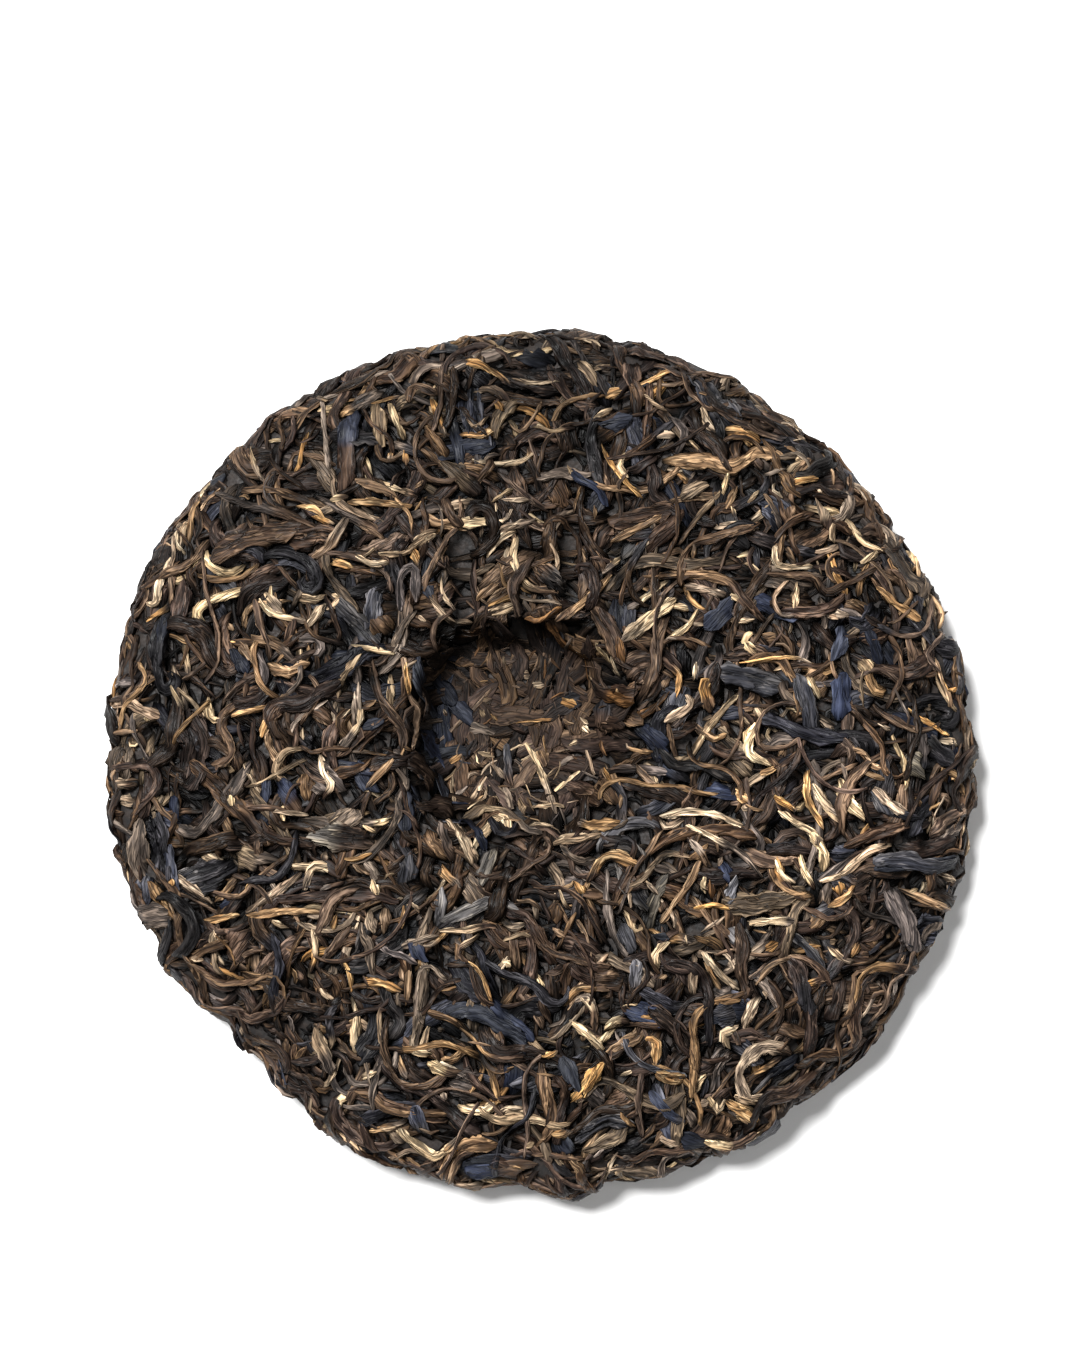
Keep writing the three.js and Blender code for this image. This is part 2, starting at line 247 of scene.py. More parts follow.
def chart_from_above(points):
    """Chart positions on the top for points seen from straight above."""
    points = np.asarray(points, float)
    turn = np.arctan2(points[:, 1], points[:, 0])
    stretch = np.interp(np.degrees(turn), ALL_TURNS, EDGE_STRETCH)
    radius = np.minimum(np.hypot(points[:, 0], points[:, 1]) / stretch, CAKE_RADIUS)
    on_top = WAYS <= WIDEST_WAY
    way = np.interp(radius, RADII[on_top], WAYS[on_top])
    return np.stack([way * np.cos(turn), way * np.sin(turn)], axis=1)


# Colours, from 0 to 255: the leaf's body, the accent that is painted on its crests and edges as a highlight,
# and how much of the surface the accent takes
Look = namedtuple("Look", "body accent share")
LOOKS = {
    "black": Look((30, 22, 18), (98, 80, 67), 0.2),
    "coal": Look((25, 24, 27), (88, 84, 86), 0.2),
    "dark": Look((47, 34, 27), (132, 106, 86), 0.26),
    "brown": Look((67, 51, 40), (160, 131, 104), 0.32),
    "rust": Look((80, 56, 36), (156, 116, 78), 0.35),
    "grey": Look((70, 61, 55), (158, 139, 122), 0.36),
    "blue": Look((43, 44, 51), (112, 109, 111), 0.28),
    "navy": Look((30, 33, 44), (76, 80, 92), 0.28),
    "slate": Look((80, 77, 77), (158, 150, 140), 0.4),
    "ash": Look((106, 91, 78), (198, 175, 149), 0.5),
    "tan": Look((116, 90, 66), (202, 168, 130), 0.45),
    "gold": Look((158, 117, 74), (232, 192, 138), 0.5),
    "pale": Look((146, 122, 98), (228, 202, 168), 0.55),
    "cream": Look((198, 169, 133), (242, 220, 184), 0.6),
}
PALE_LOOKS = ("cream", "pale", "gold")
LIGHT_LOOKS = PALE_LOOKS + ("tan", "ash")
# What a light leaf and a dark one fade into along their length
DUSKY_LOOKS = ("brown", "dark", "ash", "grey")
DEEP_LOOKS = ("black", "dark", "coal", "brown")

# Sections of a leaf, against its half width and its thickness: how domed the top is, how high
# the ridges stand, how many there are, thickness against width and its limits, and the step
# between rings
Shape = namedtuple("Shape", "top dome ridge ridges thickness thinnest thickest step")
FINE_TOP = (-1, -0.72, -0.36, 0, 0.36, 0.72, 1)
WIDE_TOP = (-1, -0.84, -0.63, -0.42, -0.21, 0, 0.21, 0.42, 0.63, 0.84, 1)
PLAIN_TOP = (-1, -0.5, 0.5, 1)
BOTTOM = (0.55, -0.55)
BOTTOM_LEVEL = -0.45
SHAPES = {
    "strip": Shape(FINE_TOP, 0.9, 0.25, 1.3, 0.42, 0.6, 1.5, 1.5),
    "blade": Shape(FINE_TOP, 0.4, 0.18, 1.1, 0.18, 0.5, 0.9, 1.6),
    "crumple": Shape(WIDE_TOP, 0.5, 0.42, 2.2, 0.2, 0.7, 1.2, 1.3),
    "bud": Shape(FINE_TOP, 0.9, 0.24, 1.2, 0.5, 0.55, 1.2, 1.2),
    "stem": Shape(PLAIN_TOP, 1.0, 0.05, 0.5, 0.85, 0.5, 1.3, 1.6),
    "sliver": Shape(PLAIN_TOP, 1.0, 0.05, 0.5, 0.6, 0.3, 0.8, 1.5),
    "flake": Shape(PLAIN_TOP, 0.4, 0.1, 0.7, 0.2, 0.35, 0.6, 1.4),
}

# Kinds of leaf, each of which becomes a piece: shape, looks with their shares, width, length,
# how sharply they bend, and what share has a hooked end
Kind = namedtuple("Kind", "shape looks width length bend hook")
KINDS = {
    "dark_strips": Kind("strip", {"dark": 1}, (1.2, 3.8), (10, 32), 0.065, 0.2),
    "black_strips": Kind("strip", {"black": 5, "coal": 2}, (1.3, 4.2), (10, 32), 0.065, 0.2),
    "brown_strips": Kind("strip", {"brown": 6, "tan": 1}, (1.1, 3.0), (9, 30), 0.07, 0.22),
    "grey_strips": Kind("strip", {"grey": 3, "ash": 2}, (1.1, 3.0), (9, 30), 0.07, 0.2),
    "crumpled_leaves": Kind(
        "crumple", {"dark": 5, "coal": 2, "black": 3, "grey": 2, "brown": 3, "blue": 1}, (3.6, 7.4), (8, 20),
        0.045, 0.0),
    "navy_blades": Kind("blade", {"navy": 2, "coal": 1}, (2.6, 5.2), (7, 17), 0.035, 0.0),
    "dusk_blades": Kind(
        "blade", {"blue": 3, "grey": 1, "dark": 2, "coal": 2}, (2.6, 6.0), (8, 19), 0.04, 0.0),
    "pale_buds": Kind("bud", {"cream": 4, "pale": 4}, (1.2, 3.0), (8, 20), 0.09, 0.45),
    "gold_buds": Kind("bud", {"gold": 3, "tan": 2}, (1.2, 2.6), (7, 18), 0.085, 0.4),
    "stalks": Kind("stem", {"brown": 5, "dark": 4, "tan": 1}, (0.9, 1.6), (12, 34), 0.06, 0.15),
    "slivers": Kind(
        "sliver", {"ash": 3, "tan": 2, "dark": 4, "brown": 2}, (0.5, 1.2), (3, 11), 0.09, 0.15),
    "pressed_leaves": Kind("blade", {"dark": 5, "brown": 3, "black": 3}, (2.2, 6), (7, 20), 0.05, 0.0),
    "flakes": Kind("flake", {"brown": 4, "dark": 5, "black": 2, "tan": 1}, (1.4, 3.4), (2.5, 7), 0.03, 0.0),
    "pale_chips": Kind(
        "flake", {"cream": 2, "pale": 3, "tan": 2, "gold": 1, "ash": 2}, (0.8, 2.0), (1.4, 4.2), 0.05, 0.0),
}


def section(shape, plain=False):
    """Across and up of the points round a leaf, top first."""
    form = SHAPES[shape]
    across = np.array(PLAIN_TOP if plain else form.top)
    up = 0.5 * (1 - form.dome + form.dome * np.sqrt(1 - across ** 2))
    return np.concatenate([across, BOTTOM]), np.concatenate([up, [BOTTOM_LEVEL, BOTTOM_LEVEL]]), len(across)


SIDE_ROUGHNESS = 0.055          # how far points stray to the side, as a share of the width
TOP_ROUGHNESS = 0.07            # and up, as a share of the thickness


class Leaf:
    """One leaf: where it lies on a chart, its size, its look and its own chance marks."""

    def __init__(self, kind, shape, look, width, length, path, is_named=False):
        self.kind, self.shape, self.look = kind, shape, look
        self.width, self.length, self.path = width, length, path
        self.is_named = is_named
        form = SHAPES[shape]
        self.thickness = float(np.clip(width * form.thickness, form.thinnest, form.thickest))
        self.wave, self.tone, self.seed, self.warmth = rng.random(4)
        self.ends = rng.uniform(0.08, 0.6, 2)       # how wide its ends are, as shares of its width
        self.slants = rng.normal(0, 1.0, 2)         # how far its ends are cut aslant
        self.spiral = rng.normal(0, 2.2)            # how far its ridges wind round it
        self.skew = rng.normal(0, 0.05)             # how far its fibres run aslant
        self.roll = rng.uniform(0.1, 0.45)          # how far it rolls about its length
        self.cup = rng.uniform(-0.3, 0.5)           # how far a wide leaf's edges curl up
        self.edges = rng.random(2) < 0.45           # which of its edges get a painted highlight
        self.points_at_ends = rng.uniform(0.05, 0.3, 2)  # how long its tapers are
        self.is_light = look in LIGHT_LOOKS
        # Some leaves take on another look from this share of their length on; 0 is none
        fade_chance = 0.5 if self.is_light else 0.25
        self.fade = rng.uniform(0.25, 0.85) if rng.random() < fade_chance else 0.0
        self.fade_look = rng.choice(DUSKY_LOOKS if self.is_light else DEEP_LOOKS)
        self.lift = 0.0

    def girth(self):
        return 2.2 * self.width + 1.5 * self.thickness

    def taper(self, along):
        """Share of the full width at shares of the length."""
        from_middle = np.abs(2 * along - 1)
        wobble = 0.11 * np.sin(8 * along + 6 * self.wave) + 0.09 * np.sin(21 * along + 9 * self.wave)
        if self.shape == "bud":
            return np.clip(1.75 * (along + 0.03) ** 0.62 * (1.02 - along) ** 0.38, 0, 1) * (1 + wobble)
        if self.shape in ("blade", "flake", "crumple"):
            return np.sqrt(1 - 0.9 * from_middle ** 7) * (1 + wobble)
        if self.shape == "stem":
            return 0.9 + wobble - 0.25 * from_middle ** 12
        if self.shape == "sliver":
            return 0.15 + 0.85 * np.sqrt(1 - from_middle ** 2)
        from_ends = np.clip([along / self.points_at_ends[0], (1 - along) / self.points_at_ends[1]], 0, 1)
        first, last = self.ends[:, None] + (1 - self.ends[:, None]) * np.sin(np.pi / 2 * from_ends)
        return first * last * (1 + 1.5 * wobble)

    def lean_at(self, along):
        """How the leaf rolls about its length."""
        return self.roll * np.sin(self.wave * 6 + along * (2 + self.length / 5))

    def surface(self, along, shrink, is_plain):
        """For the points of each ring: where across the leaf, offset, rise, and height of ridges."""
        form = SHAPES[self.shape]
        across, up, top_count = section(self.shape, is_plain)
        offset = (self.width / 2 * shrink)[:, None] * across
        ridge = np.cos(np.pi * form.ridges * across + 6 * self.seed + self.spiral * along[:, None])
        is_top = np.arange(len(across)) < top_count
        hold = is_top * (1 - across ** 4)
        thick = (self.thickness * np.sqrt(shrink))[:, None]
        rough = rng.normal(0, 1, ridge.shape)
        offset = offset + SIDE_ROUGHNESS * self.width * rough
        rise = thick * (up + hold * (form.ridge * ridge + TOP_ROUGHNESS * rough))
        if self.shape in ("blade", "crumple"):
            rise = rise + self.thickness * self.cup * (across ** 2 - 0.4)
        return across, offset, rise, ridge * hold


def walk(is_under, middles, headings, lengths, bends, swings, hooks):
    """Paths of many leaves at once, in steps of equal real length over the skin."""
    count = len(middles)
    steps = lengths / (PATH_STEPS - 1)
    heading = headings - bends * lengths / 2
    direction = np.stack([np.cos(headings), np.sin(headings)], axis=1)
    here = middles - direction * lengths[:, None] / 2
    gnarl, phase = rng.normal(0, 0.1, count), rng.uniform(0, 6.3, count)
    wavelength = rng.uniform(5, 11, count)
    kink_place = rng.uniform(0.2, 0.8, count)
    kink = (rng.random(count) < 0.25) * rng.choice([-1, 1], count) * rng.uniform(0.15, 0.35, count)
    paths = np.empty((count, PATH_STEPS, 2))
    for index in range(PATH_STEPS):
        share = index / (PATH_STEPS - 1)
        paths[:, index] = here
        forward = np.stack([np.cos(heading), np.sin(heading)], axis=1)
        ahead = skin(here + NUDGE * forward, is_under)
        behind = skin(here - NUDGE * forward, is_under)
        stretch = np.linalg.norm(ahead - behind, axis=1) / (2 * NUDGE)
        here = here + forward * (steps / np.maximum(stretch, 0.3))[:, None]
        turning = bends + swings * math.sin(2 * math.pi * share) + hooks * (share > 0.62)
        turning = turning + gnarl * np.sin(2 * np.pi * index * steps / wavelength + phase)
        is_kinked = np.abs(share - kink_place) < 1.6 / PATH_STEPS
        heading = heading + steps * turning + is_kinked * kink
    return paths


# Steps of a sequence that fills a square evenly
EVEN_WAY_STEP = 0.7548776662
EVEN_TURN_STEP = 0.5698402910


def chart_spots(count, is_under, way_start, way_end):
    """Evenly spread random spots on a chart between two ways from its middle."""
    ways = np.linspace(way_start, way_end, 400)
    along_profile = WAYS[-1] - ways if is_under else ways
    area = np.cumsum(np.interp(along_profile, WAYS, RADII))
    index = np.arange(count)
    share = (index * EVEN_WAY_STEP + rng.random()) % 1
    turn = ((index * EVEN_TURN_STEP + rng.random()) % 1) * 2 * np.pi
    way = np.interp(share * area[-1], area, ways)
    spots = np.stack([way * np.cos(turn), way * np.sin(turn)], axis=1)
    return spots + rng.normal(0, 1.5, spots.shape)


def lie_direction(spots):
    """Headings that neighbours share loosely, and that follow the edge near the rim."""
    u, v = spots[:, 0], spots[:, 1]
    grain = 1.6 * np.sin(u / 19 + 0.5) + 1.9 * np.sin(v / 23 + u / 41) + 0.8 * np.sin((u - v) / 13)
    loose = grain + rng.normal(0, 0.75, len(spots))
    around = np.arctan2(v, u) + np.pi / 2 + rng.normal(0, 0.45, len(spots))
    is_rim = rng.random(len(spots)) < 0.85 * smoothstep(np.hypot(u, v), 76, 100)
    return np.where(is_rim, around, loose)


def draw_looks(kind, count):
    names = list(kind.looks)
    shares = np.array(list(kind.looks.values()), float)
    return rng.choice(names, count, p=shares / shares.sum())


def scatter(kind_name, count, is_under, way_start, way_end, size=1.0):
    """Leaves of one kind at seeded random places."""
    kind = KINDS[kind_name]
    spots = chart_spots(count, is_under, way_start, way_end)
    small = rng.random(count) ** 1.3
    lengths = size * (kind.length[0] + (kind.length[1] - kind.length[0]) * small)
    widths = size * rng.uniform(*kind.width, count)
    bends = rng.normal(0, kind.bend, count)
    swings = rng.normal(0, kind.bend, count)
    is_hooked = rng.random(count) < kind.hook
    hooks = is_hooked * rng.choice([-1, 1], count) * rng.uniform(0.2, 0.42, count)
    paths = walk(is_under, spots, lie_direction(spots), lengths, bends, swings, hooks)
    looks = draw_looks(kind, count)
    return [
        Leaf(kind_name, kind.shape, look, width, length, path)
        for look, width, length, path in zip(looks, widths, lengths, paths)
    ]


def even_path(points):
    """A smooth path through points of the top's chart, in steps of equal real length."""
    points = np.asarray(points, float)
    if len(points) == 2:
        points = np.array([points[0], points.mean(axis=0), points[1]])
    ends = [2 * points[0] - points[1], 2 * points[-1] - points[-2]]
    padded = np.vstack([ends[0], points, ends[1]])
    share = np.linspace(0, 1, 16, endpoint=False)[:, None]
    stretches = []
    for a, b, c, d in zip(padded, padded[1:], padded[2:], padded[3:]):
        curve = 2 * b + (c - a) * share + (2 * a - 5 * b + 4 * c - d) * share ** 2
        stretches.append(0.5 * (curve + (3 * b - a - 3 * c + d) * share ** 3))
    dense = np.vstack(stretches + [points[-1:]])
    solid = skin(dense, False)
    way = np.concatenate([[0], np.cumsum(np.linalg.norm(np.diff(solid, axis=0), axis=1))])
    even = np.linspace(0, way[-1], PATH_STEPS)
    path = np.stack([np.interp(even, way, dense[:, axis]) for axis in (0, 1)], axis=1)
    return path, way[-1]


DRAPE_SCALE = 1.7               # a leaf bridges hollows in the pile that are shorter than this
MOST_LEAN = 0.3                 # steepest slope that a leaf takes from what lies under it


class Pile:
    """Leaves laid one on another over one side of the cake."""

    def __init__(self, is_under):
        self.is_under = is_under
        self.side = int(2 * CHART_REACH / CELL)
        self.height = np.zeros((self.side, self.side))
        self.owner = np.full((self.side, self.side), -1)
        self.leaves = []

    def cells(self, chart):
        index = ((chart + CHART_REACH) / CELL).astype(int)
        index = np.clip(index, 0, self.side - 1)
        return index[..., 0], index[..., 1]

    def add_frames(self, leaves):
        """Work out the skin under every leaf at once."""
        paths = np.stack([leaf.path for leaf in leaves])
        by_u, by_v, normal = slopes(paths, self.is_under)
        points = skin(paths, self.is_under)
        tangent = unit(np.gradient(points, axis=1))
        side = unit(np.cross(tangent, normal))
        uu, vv = (by_u * by_u).sum(-1), (by_v * by_v).sum(-1)
        uv = (by_u * by_v).sum(-1)
        side_u, side_v = (by_u * side).sum(-1), (by_v * side).sum(-1)
        scale = 1 / np.maximum(uu * vv - uv * uv, 1e-6)
        chart_side = np.stack([
            (vv * side_u - uv * side_v) * scale, (uu * side_v - uv * side_u) * scale], axis=-1)
        for index, leaf in enumerate(leaves):
            leaf.points, leaf.normal = points[index], normal[index]
            leaf.across, leaf.chart_across = side[index], chart_side[index]

    def lay(self, leaf):
        """Drape a leaf over the pile and raise the pile by it."""
        count = max(6, int(leaf.length / (0.9 * CELL)))
        fine = np.linspace(0, PATH_STEPS - 1, count)
        steps = np.arange(PATH_STEPS)
        path = np.stack([np.interp(fine, steps, leaf.path[:, axis]) for axis in (0, 1)], axis=1)
        sideways = np.stack(
            [np.interp(fine, steps, leaf.chart_across[:, axis]) for axis in (0, 1)], axis=1)
        along = fine / (PATH_STEPS - 1)
        half = leaf.width / 2 * leaf.taper(along)
        probes = np.array([-0.8, -0.4, 0, 0.4, 0.8])
        offsets = half[:, None] * probes
        spots = path[:, None] + sideways[:, None] * offsets[..., None]
        support = self.height[self.cells(spots)]
        under = support[:, 1:4].max(axis=1)
        under[1:-1] = np.maximum(under[1:-1], np.maximum(under[2:], under[:-2]))
        gap = np.abs(fine[:, None] - fine[None]) * leaf.length / (PATH_STEPS - 1)
        weight = np.exp(-(gap / DRAPE_SCALE) ** 2)
        weight /= weight.sum(axis=1, keepdims=True)
        tuck = leaf.thickness * 0.9 * np.abs(2 * along - 1) ** 7
        middle = weight @ under + leaf.thickness * 0.2 - tuck + leaf.lift * along ** 2
        lean = (support[:, 3:].mean(axis=1) - support[:, :2].mean(axis=1)) / np.maximum(1.2 * half, 0.3)
        lean = np.clip(weight @ lean, -MOST_LEAN, MOST_LEAN) + leaf.lean_at(along)
        lanes = np.linspace(-1, 1, max(3, int(leaf.width / CELL * 1.4) + 1))
        offsets = half[:, None] * lanes
        crown = leaf.thickness * 0.5 * np.sqrt(np.clip(1 - lanes ** 2, 0, 1))
        top = middle[:, None] + crown + lean[:, None] * offsets
        rows, columns = self.cells(path[:, None] + sideways[:, None] * offsets[..., None])
        is_over = top > self.height[rows, columns]
        self.owner[rows[is_over], columns[is_over]] = len(self.leaves)
        self.height[rows[is_over], columns[is_over]] = top[is_over]
        leaf.fine, leaf.middle, leaf.lean = fine, middle, lean
        self.leaves.append(leaf)

    def lay_all(self, leaves):
        self.add_frames(leaves)
        for leaf in leaves:
            self.lay(leaf)

    def press(self):
        """The pile's smooth level, which is taken off every height."""
        centre = (np.arange(self.side) + 0.5) * CELL - CHART_REACH
        way = np.hypot(centre[:, None], centre[None])
        inside = (way < CHART_REACH - 4).astype(float)
        frequency = np.fft.fftfreq(self.side, CELL)
        spread = PRESS_SCALE / 2
        blur = np.exp(-2 * (np.pi * spread) ** 2 * (frequency[:, None] ** 2 + frequency[None] ** 2))

        def soften(field):
            return np.fft.ifft2(np.fft.fft2(field) * blur).real

        self.level = soften(self.height * inside) / np.maximum(soften(inside), 1e-3)
        self.shown = np.bincount(self.owner[self.owner >= 0], minlength=len(self.leaves)) * CELL ** 2


def relief_share(x, y):
    """How much of the pile's relief is left: the hollow's floor is pressed almost smooth."""
    return 1 - 0.9 * smoothstep(hollow_depth(x, y), 0.5 * HOLLOW_DEPTH, 0.95 * HOLLOW_DEPTH)


def colour_channels(colour):
    share = np.asarray(colour, float) / 255
    return np.where(share <= 0.04045, share / 12.92, ((share + 0.055) / 1.055) ** 2.4)


FEWEST_RINGS = 4


def at_shares(along, values):
    """Values that are known at the points of a path, at shares of its length."""
    steps = np.linspace(0, 1, PATH_STEPS)
    columns = [np.interp(along, steps, values[:, axis]) for axis in range(values.shape[1])]
    return np.stack(columns, axis=1)


def place_object(name, data):
    thing = bpy.data.objects.new(name, data)
    bpy.context.scene.collection.objects.link(thing)
    return thing


class LeafMesh:
    """Collects the vertices, faces and colours of many leaves for one piece."""

    def __init__(self, leaves):
        self.points, self.quads, self.triangles = [], [], []
        self.body, self.accent, self.fibre = [], [], []
        self.quad_maps, self.triangle_maps = [], []
        self.count = 0
        area = sum((leaf.length + 2) * (leaf.girth() + 0.5) for leaf in leaves)
        self.map_width = 1.03 * math.sqrt(area) + 20
        self.map_corner = np.zeros(2)
        self.map_row = 0.0

    def add(self, leaf, pile, is_plain, coarse):
        """Sweep the leaf's section along its path, over what lies under it in the pile."""
        rings = max(FEWEST_RINGS, int(round(leaf.length / (SHAPES[leaf.shape].step * coarse))) + 1)
        along = np.linspace(0.02, 0.98, rings)
        path, chart_across = at_shares(along, leaf.path), at_shares(along, leaf.chart_across)
        point, normal, side = (
            at_shares(along, values) for values in (leaf.points, leaf.normal, leaf.across))
        fine = leaf.fine / (PATH_STEPS - 1)
        middle, lean = (np.interp(along, fine, values) for values in (leaf.middle, leaf.lean))
        shrink = leaf.taper(along)
        across, offset, rise, ridge = leaf.surface(along, shrink, is_plain)
        level = pile.level[pile.cells(path[:, None] + chart_across[:, None] * offset[..., None])]
        raw = middle[:, None] + rise + lean[:, None] * offset - level
        raw = raw * relief_share(point[:, 0], point[:, 1])[:, None]
        raised = TOP_LEVEL + raw
        raised = np.where(raised > MOST_RAISED, MOST_RAISED + 0.5 * (raised - MOST_RAISED), raised)
        forward = unit(np.gradient(point, axis=0))
        ends = np.array([np.clip(1 - along / 0.2, 0, 1), np.clip((along - 0.8) / 0.2, 0, 1)])
        slant = (leaf.slants @ ends)[:, None] * offset
        vertices = point[:, None] + side[:, None] * offset[..., None]
        vertices = vertices + normal[:, None] * raised[..., None] + forward[:, None] * slant[..., None]
        tips = vertices[[0, -1]].mean(axis=1)
        tips += 0.3 * leaf.width * shrink[[0, -1], None] * forward[[0, -1]] * [[-1], [1]]
        points = np.vstack([vertices.reshape(-1, 3), tips])
        points[:, 2] = np.clip(points[:, 2], 0, HIGHEST)
        self.points.append(points)
        self._join(rings, len(across))
        self._map(leaf, rings, len(across))
        # Painted shade and tone of the leaves' place on the top
        shade = np.ones(rings) if pile.is_under else shade_and_tone_of_place(point[:, 0], point[:, 1])
        self._colour(leaf, along, across, offset, ridge, raw, shade)
        self.count += len(points)

    def _join(self, rings, sides):
        """Join the rings, and each end to its tip."""
        ring, place = np.meshgrid(np.arange(rings - 1), np.arange(sides), indexing="ij")
        here = self.count + ring * sides + place
        beside = self.count + ring * sides + (place + 1) % sides
        self.quads.append(np.stack([here, beside, beside + sides, here + sides], axis=-1).reshape(-1, 4))
        first = self.count + np.arange(sides)
        last = first + (rings - 1) * sides
        tip = self.count + rings * sides
        self.triangles.append(np.stack([np.roll(first, -1), first, np.full(sides, tip)], axis=1))
        self.triangles.append(np.stack([last, np.roll(last, -1), np.full(sides, tip + 1)], axis=1))

    def _map(self, leaf, rings, sides):
        """Give the leaf its own strip of the flat map: length along, girth up."""
        wide, tall = leaf.length, leaf.girth()
        if self.map_corner[0] + wide + 2 > self.map_width:
            self.map_corner = np.array([0.0, self.map_corner[1] + self.map_row + 0.5])
            self.map_row = 0.0
        self.map_row = max(self.map_row, tall)
        ring, place = np.meshgrid(np.arange(rings - 1), np.arange(sides), indexing="ij")
        corners = [(ring, place), (ring, place + 1), (ring + 1, place + 1), (ring + 1, place)]
        step = np.array([wide / (rings - 1), tall / sides])
        origin = self.map_corner + np.array([1.0, 0.25])
        flat = np.stack([np.stack(corner, axis=-1) for corner in corners], axis=2).reshape(-1, 4, 2)
        self.quad_maps.append(flat * step + origin)
        lower, upper = np.arange(sides) * step[1], (np.arange(sides) + 1) * step[1]
        half = np.full(sides, tall / 2)
        start, end = np.zeros(sides), np.full(sides, wide)
        first = [(start, upper), (start, lower), (start - 0.8, half)]
        last = [(end, lower), (end, upper), (end + 0.8, half)]
        for cap in (first, last):
            self.triangle_maps.append(np.stack([np.stack(p, axis=-1) for p in cap], axis=1) + origin)
        self.map_corner = self.map_corner + np.array([wide + 2.0, 0.0])

    def _colour(self, leaf, along, across, offset, ridge, raw, shade):
        """Give each point its body and accent colours, with painted highlights and painted shade, and its
        place along the fibres.
        """
        look, fade_look = LOOKS[leaf.look], LOOKS[leaf.fade_look]
        warm = leaf.warmth - 0.5
        if leaf.look in ("cream", "pale"):
            tint = (0.86 + 0.34 * leaf.tone) * (1 + warm * np.array([0.05, 0.0, -0.2]))
        else:
            tint = (0.56 + 0.86 * leaf.tone) * (1 + warm * np.array([0.14, 0.0, -0.36]))
        body, accent = (colour_channels(colour) * tint for colour in (look.body, look.accent))
        shape = ridge.shape + (1,)
        body, accent = np.broadcast_to(body, shape[:2] + (3,)), np.broadcast_to(accent, shape[:2] + (3,))
        if leaf.fade:
            wander = 0.12 * np.sin(9 * along + 6 * leaf.seed)
            faded = smoothstep(along + wander, leaf.fade, leaf.fade + 0.25)[:, None, None]
            body = body + (colour_channels(fade_look.body) - body) * faded
            accent = accent + (colour_channels(fade_look.accent) - accent) * faded
        # Painted highlight: the accent colour on the ridges' crests and on the lit edges
        crest_highlight = smoothstep(ridge, 0.3, 0.95) * look.share * (0.2 + 0.9 * leaf.tone)
        edge = smoothstep(np.abs(across), 0.7, 1) * np.where(across > 0, leaf.edges[0], leaf.edges[1])
        lit = np.clip(crest_highlight + 0.8 * edge, 0, 0.95).reshape(shape)
        # Painted shade in the grooves between the ridges
        groove_shade = (1 - 0.4 * smoothstep(-ridge, 0.1, 0.9)).reshape(shape)
        # Painted shade: leaves lying deep in the pile are darkened, and those on the top also by their place
        depth = (DEEP_SHADE + (1 - DEEP_SHADE) * smoothstep(raw, -1.6, 0.35)).reshape(shape)
        depth = depth * shade[:, None, None]
        body = (body + (accent - body) * lit) * groove_shade * depth
        accent = accent * depth
        for store, colour in ((self.body, body), (self.accent, accent)):
            flat = colour.reshape(-1, 3)
            ends = np.stack([colour[0].mean(axis=0), colour[-1].mean(axis=0)])
            store.append(np.hstack([np.vstack([flat, ends]), np.ones((len(flat) + 2, 1))]))
        way = np.broadcast_to((along * leaf.length)[:, None], ridge.shape)
        lane = offset + leaf.skew * way * np.sign(leaf.spiral)
        fibre = np.stack([lane, way, np.full(ridge.shape, 97 * leaf.seed)], axis=-1).reshape(-1, 3)
        self.fibre.append(np.vstack([fibre, fibre[[0, -1]]]))

    def build(self, name, material):
        quads, triangles = np.vstack(self.quads), np.vstack(self.triangles)
        mesh = bpy.data.meshes.new(name)
        points = np.vstack(self.points) * MM
        mesh.vertices.add(len(points))
        mesh.vertices.foreach_set("co", points.astype(np.float32).ravel())
        corners = np.concatenate([quads.ravel(), triangles.ravel()])
        mesh.loops.add(len(corners))
        mesh.loops.foreach_set("vertex_index", corners.astype(np.int32))
        mesh.polygons.add(len(quads) + len(triangles))
        after_quads = quads.size + np.arange(len(triangles)) * 3
        starts = np.concatenate([np.arange(len(quads)) * 4, after_quads])
        mesh.polygons.foreach_set("loop_start", starts.astype(np.int32))
        mesh.polygons.foreach_set("use_smooth", np.ones(len(starts), bool))
        mesh.update(calc_edges=True)
        for title, kind, channel, rows in (
            ("body", "FLOAT_COLOR", "color", self.body),
            ("accent", "FLOAT_COLOR", "color", self.accent),
            ("fibre", "FLOAT_VECTOR", "vector", self.fibre),
        ):
            layer = mesh.attributes.new(title, kind, "POINT")
            layer.data.foreach_set(channel, np.vstack(rows).astype(np.float32).ravel())
        flat = np.vstack([part.reshape(-1, 2) for part in self.quad_maps + self.triangle_maps])
        flat = flat / (flat.max(axis=0) + 1.0)
        mesh.uv_layers.new(name="OFBake").data.foreach_set("uv", flat.astype(np.float32).ravel())
        mesh.materials.append(material)
        return place_object(name, mesh)


